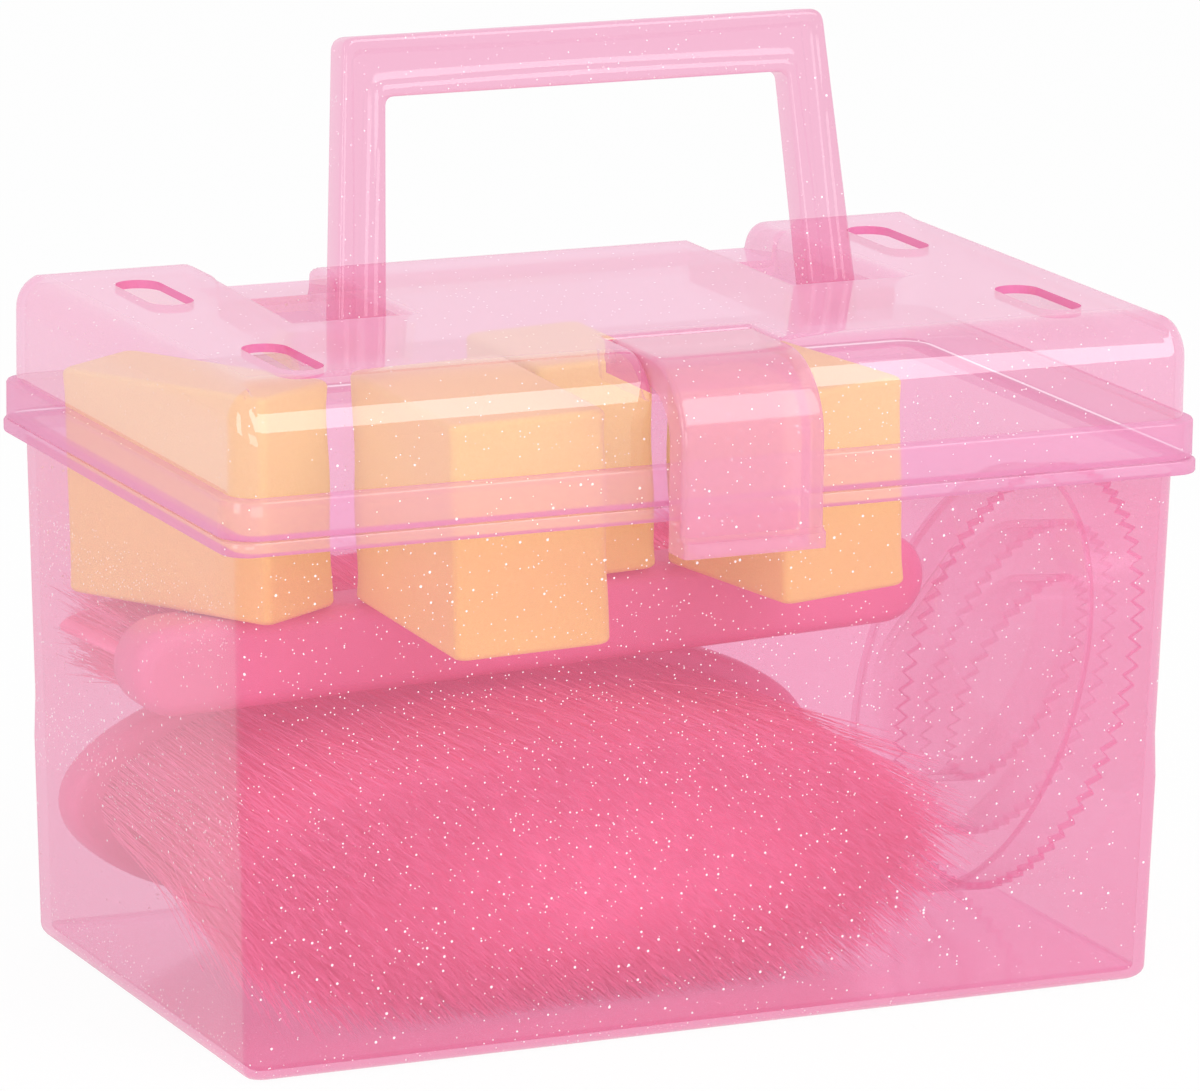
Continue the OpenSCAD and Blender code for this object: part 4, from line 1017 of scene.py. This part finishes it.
# %% [markdown]
# The dandy brush lies on its side over the body brush, its stiffer hairs to the back wall. Its back
# is a bar with round ends, drawn in towards the front face.

# %% Dandy brush
dandy_x, dandy_z, dandy_face = -9.0, 68.72, 24.61
dandy_half, dandy_w, dandy_t = 102.0, 22.0, 16.0
front_arc = np.radians(np.linspace(0, 90, 8))
bar_in = np.concatenate([[10.9, 6, 1.0, 0.3, 0.0], 4.5 * (1 - np.cos(front_arc)), [8, 10.9]])
bar_d = np.concatenate([[0, 0, 0, 0.3, 1.0], dandy_t - 4.5 + 4.5 * np.sin(front_arc), [dandy_t, dandy_t]])
bar = rounded_loops(dandy_half - bar_in, dandy_w / 2 - bar_in, dandy_w / 2 - bar_in, bar_d, arc=12, side=10)
bar = np.concatenate([bar[:1] * np.array([1, 0, 1]), bar, bar[-1:] * np.array([1, 0, 1])])
bar = np.stack([bar[..., 0] + dandy_x, dandy_face - bar[..., 2], bar[..., 1] + dandy_w / 2], axis=-1)
make_piece("dandy_brush_bar", tip_up(bar, dandy_z), grid_faces(len(bar), bar.shape[1]), brush_back, "box",
           ["dandy_brush_back"])


def dandy_frame(p):
    """Place along, across and out of the dandy brush's hair side, in the box."""
    level_place = np.stack([dandy_x + p[..., 0], dandy_face - 0.3 + p[..., 2],
                            dandy_w / 2 + p[..., 1]], axis=-1)
    return tip_up(level_place, dandy_z)


hair_core("dandy_brush_core", 96.5, 8.6, 40.5, dandy_frame, 0.0, 0.04)
dandy_hairs, field_l, field_w = 9000, 96, 8
dandy_hair_l, dandy_hair_r = 42.0, 0.2
root_x = rng.uniform(-field_l, field_l, dandy_hairs)
root_w = rng.uniform(-field_w, field_w, dandy_hairs)
roots = np.stack([dandy_x + root_x, np.full(dandy_hairs, dandy_face - 0.5), dandy_w / 2 + root_w], axis=-1)
aims = np.stack([0.0006 * root_x + rng.normal(0, 0.02, dandy_hairs), np.full(dandy_hairs, 1.0),
                 0.006 * root_w + rng.normal(0, 0.012, dandy_hairs)], axis=-1)
lengths = dandy_hair_l * rng.uniform(0.93, 0.99, dandy_hairs)
points, faces = hairs(roots, aims, lengths, dandy_hair_r, rng)
bristle_piece("dandy_brush_hair", tip_up(points, dandy_z), faces, "dandy_brush_bristles", dandy_hairs, rng)

# %% [markdown]
# ## The curry comb
# The comb is an oval plate with three rings standing on it, each cut in pointed teeth. The height of
# a ring's edge is a triangle wave round the oval. A strap for the hand arches off the back.

# %% Curry comb
comb_a, comb_b, plate, ring_h, ring_t, tooth = 69.0, 43.5, 2.0, 13.5, 1.8, 3.0
ring_count, ring_step, tooth_pitch = 3, 14, 5.0
comb_place = np.array([95.125, -6.07, 60.48])
comb_lean, comb_turn = np.radians([4.0, 46.0])


def in_comb(p):
    """The comb's own frame: teeth to the right, the oval turned as it stands, leaning on the wall."""
    p = np.asarray(p)
    x, y, z = p[..., 2], p[..., 1], -p[..., 0]
    y, z = y * np.cos(comb_turn) - z * np.sin(comb_turn), y * np.sin(comb_turn) + z * np.cos(comb_turn)
    x, z = x * np.cos(comb_lean) + z * np.sin(comb_lean), z * np.cos(comb_lean) - x * np.sin(comb_lean)
    return np.stack([x, y, z], axis=-1) + comb_place


def toothed_ring(a, b):
    """Ring of wall thickness ring_t: outer foot, outer edge, inner edge and inner foot, once round."""
    round_length = np.pi * (3 * (a + b) - np.sqrt((3 * a + b) * (a + 3 * b)))
    teeth = int(round(round_length / tooth_pitch))
    t = np.linspace(0, 2 * np.pi, teeth * 6, endpoint=False)
    wave = np.abs((np.arange(len(t)) % 6) / 3.0 - 1.0)
    tip = plate + ring_h - tooth * np.clip(wave * 1.15 - 0.08, 0, 1)
    draw = np.array([0, 0, 0.25, ring_t - 0.25, ring_t, ring_t])[:, None]
    root = np.full_like(t, plate - 0.3)
    height = np.stack([root, tip - 0.3, tip, tip, tip - 0.3, root])
    rows = np.stack([(a - draw) * np.cos(t), (b - draw) * np.sin(t), height], axis=-1)
    rows = np.concatenate([rows, rows[:1]])
    return in_comb(rows), grid_faces(len(rows), len(t))


oval_in = np.array([69.0, 30, 1.0, 0.3, 0, 0, 0.3, 1.0, 30, 69.0])
oval_z = np.array([0, 0, 0, 0.15, 0.5, plate - 0.5, plate - 0.15, plate, plate, plate])
oval_u = np.clip(comb_a - oval_in, 0, None)
oval_v = np.clip(comb_b - oval_in * np.where(oval_in > 20, comb_b / comb_a, 1), 0, None)
plate_ring = np.stack([oval_u[:, None] * np.cos(turn96), oval_v[:, None] * np.sin(turn96),
                       np.broadcast_to(oval_z[:, None], (10, 96))], axis=-1)
parts = [(in_comb(plate_ring), grid_faces(10, 96))]
for step in ring_step * np.arange(ring_count):
    parts.append(toothed_ring(comb_a - 0.1 - step, comb_b - 0.1 - step))
points, faces = joined(parts)
comb = make_piece("curry_comb_rings", points, faces, comb_plastic, "box", ["curry_comb"],
                  smooth=30.0)
for skin in (comb_wall, comb_tip, comb_edge):
    comb.data.materials.append(skin)
comb_axes = np.stack([in_comb(axis) - comb_place for axis in np.eye(3)])
comb_u, comb_v, comb_h = comb_axes @ (face_centres(comb.data) - comb_place).T
outer_ring = (comb_u / comb_a) ** 2 + (comb_v / comb_b) ** 2 > 0.86
tooth_face = comb_h > plate + ring_h - tooth - 0.35
rim_face = (comb_h > 0.2) & (comb_h < plate - 0.2) & outer_ring
ring_skin = np.where(tooth_face, np.where(outer_ring, 3, 2), 1)
comb_skin = np.where(comb_h > plate + 0.1, ring_skin, np.where(rim_face, 2, 0))
comb.data.polygons.foreach_set("material_index", comb_skin.astype(np.int32))
print("comb faces by skin", np.bincount(comb_skin))

strap_half, strap_rise, strap_t, strap_foot = 27.5, 13.0, 1.8, 7.0
arch_r = (strap_half ** 2 + strap_rise ** 2) / (2 * strap_rise)
lift = np.linspace(-strap_half, strap_half, 40)
arch = np.sqrt(arch_r ** 2 - lift ** 2) - (arch_r - strap_rise)
feet = np.array([1, strap_foot]) + strap_half
along = np.concatenate([-feet[::-1], lift, feet])
rise_to = np.concatenate([[0, 0], arch, [0, 0]]) + strap_t / 2 + 0.05
slope_y, slope_z = np.gradient(along), np.gradient(rise_to)
size = np.hypot(slope_y, slope_z)
across = np.array([-20, -19.6, 19.6, 20, 20, 19.6, -19.6, -20.0])
offset = np.array([-0.5, -0.9, -0.9, -0.5, 0.5, 0.9, 0.9, 0.5]) * strap_t / 1.8
line_y = along[:, None] - (slope_z / size)[:, None] * offset
line_z = rise_to[:, None] + (slope_y / size)[:, None] * offset
strap_points = np.stack([np.broadcast_to(across, line_y.shape), line_y, -line_z], axis=-1)
ends = np.broadcast_to(strap_points[[0, -1]].mean(axis=1, keepdims=True), (2, 8, 3))
strap_points = np.concatenate([ends[:1], strap_points, ends[1:]])
make_piece("curry_comb_loop", in_comb(strap_points), grid_faces(len(strap_points), 8), comb_plastic, "box",
           ["curry_comb_strap"])

# %% [markdown]
# ## Floor, light and white surroundings
# A product photograph like this one is shot on white. The floor is white and keeps a soft shadow; the
# world is white wherever a camera, mirror or clear ray ends in it, and a little dimmer as a lamp. One
# tall soft box at the front right makes the long highlight on the lid's round front edge. Two weaker
# ones fill in from the front and from the left.

# %% Stage and lights
def seen_directly(paint):
    """1 for rays that show the surroundings: from the camera, off gloss or through clear plastic."""
    path = paint.node("ShaderNodeLightPath")
    show = paint.out(path, "Is Camera Ray")
    for name in ("Is Glossy Ray", "Is Transmission Ray"):
        show = show.math("MAXIMUM", show, paint.out(path, name))
    return show


floor_paint = new_paint("white_floor")
floor_plain = floor_paint.wire("ShaderNodeBsdfDiffuse", None, {"Color": colour(0.92, 0.92, 0.92)})
floor_glow = floor_paint.wire("ShaderNodeEmission", None, {"Color": colour(1, 1, 1), "Strength": 1.0})
floor_shade = floor_paint.mix_shader(seen_directly(floor_paint) * 0.94, floor_plain, floor_glow)
floor_material = floor_paint.finish(floor_shade)
floor_mesh = bpy.data.meshes.new("floor")
reach, ground = 6.0, -0.0004
floor_corners = [(x * reach, y * reach, ground) for x, y in ((-1, -1), (1, -1), (1, 1), (-1, 1))]
floor_mesh.from_pydata(floor_corners, [], [(0, 1, 2, 3)])
floor_mesh.materials.append(floor_material)
floor = bpy.data.objects.new("floor", floor_mesh)
bpy.context.scene.collection.objects.link(floor)

world = bpy.data.worlds.new("white_world")
bpy.context.scene.world = world
sky = Paint(world)
level_of_light = 0.84
strength = level_of_light + seen_directly(sky) * (1 - level_of_light)
glow = sky.wire("ShaderNodeBackground", None, {"Color": colour(1, 1, 1), "Strength": strength})
sky.finish(glow, "ShaderNodeOutputWorld")


def soft_box(name, place, target, width, height, watts):
    """Rectangular lamp that faces a target."""
    data = bpy.data.lights.new(name, "AREA")
    data.shape = "RECTANGLE"
    data.size = width
    data.size_y = height
    data.energy = watts
    lamp = bpy.data.objects.new(name, data)
    back = np.asarray(place, float) - np.asarray(target, float)
    back = back / np.linalg.norm(back)
    side = np.cross([0, 0, 1.0], back)
    side = side / np.linalg.norm(side)
    matrix = np.eye(4)
    matrix[:3, 0] = side
    matrix[:3, 1] = np.cross(back, side)
    matrix[:3, 2] = back
    matrix[:3, 3] = place
    lamp.matrix_world = Matrix(matrix.tolist())
    bpy.context.scene.collection.objects.link(lamp)


soft_box("key_box", (0.375, -0.846, 0.86), (0, 0, 0.505), 0.65, 0.70, 4.6)
soft_box("fill_box", (-0.25, -1.3, 0.25), (0, 0, 0.06), 0.8, 0.4, 2.2)
soft_box("left_box", (-1.05, -0.46, 0.55), (0, 0, 0.4), 0.4, 0.8, 3.0)
bpy.context.scene.view_settings.view_transform = "Standard"
bpy.context.scene.cycles.transparent_max_bounces = 48
print("stage and lights ready")
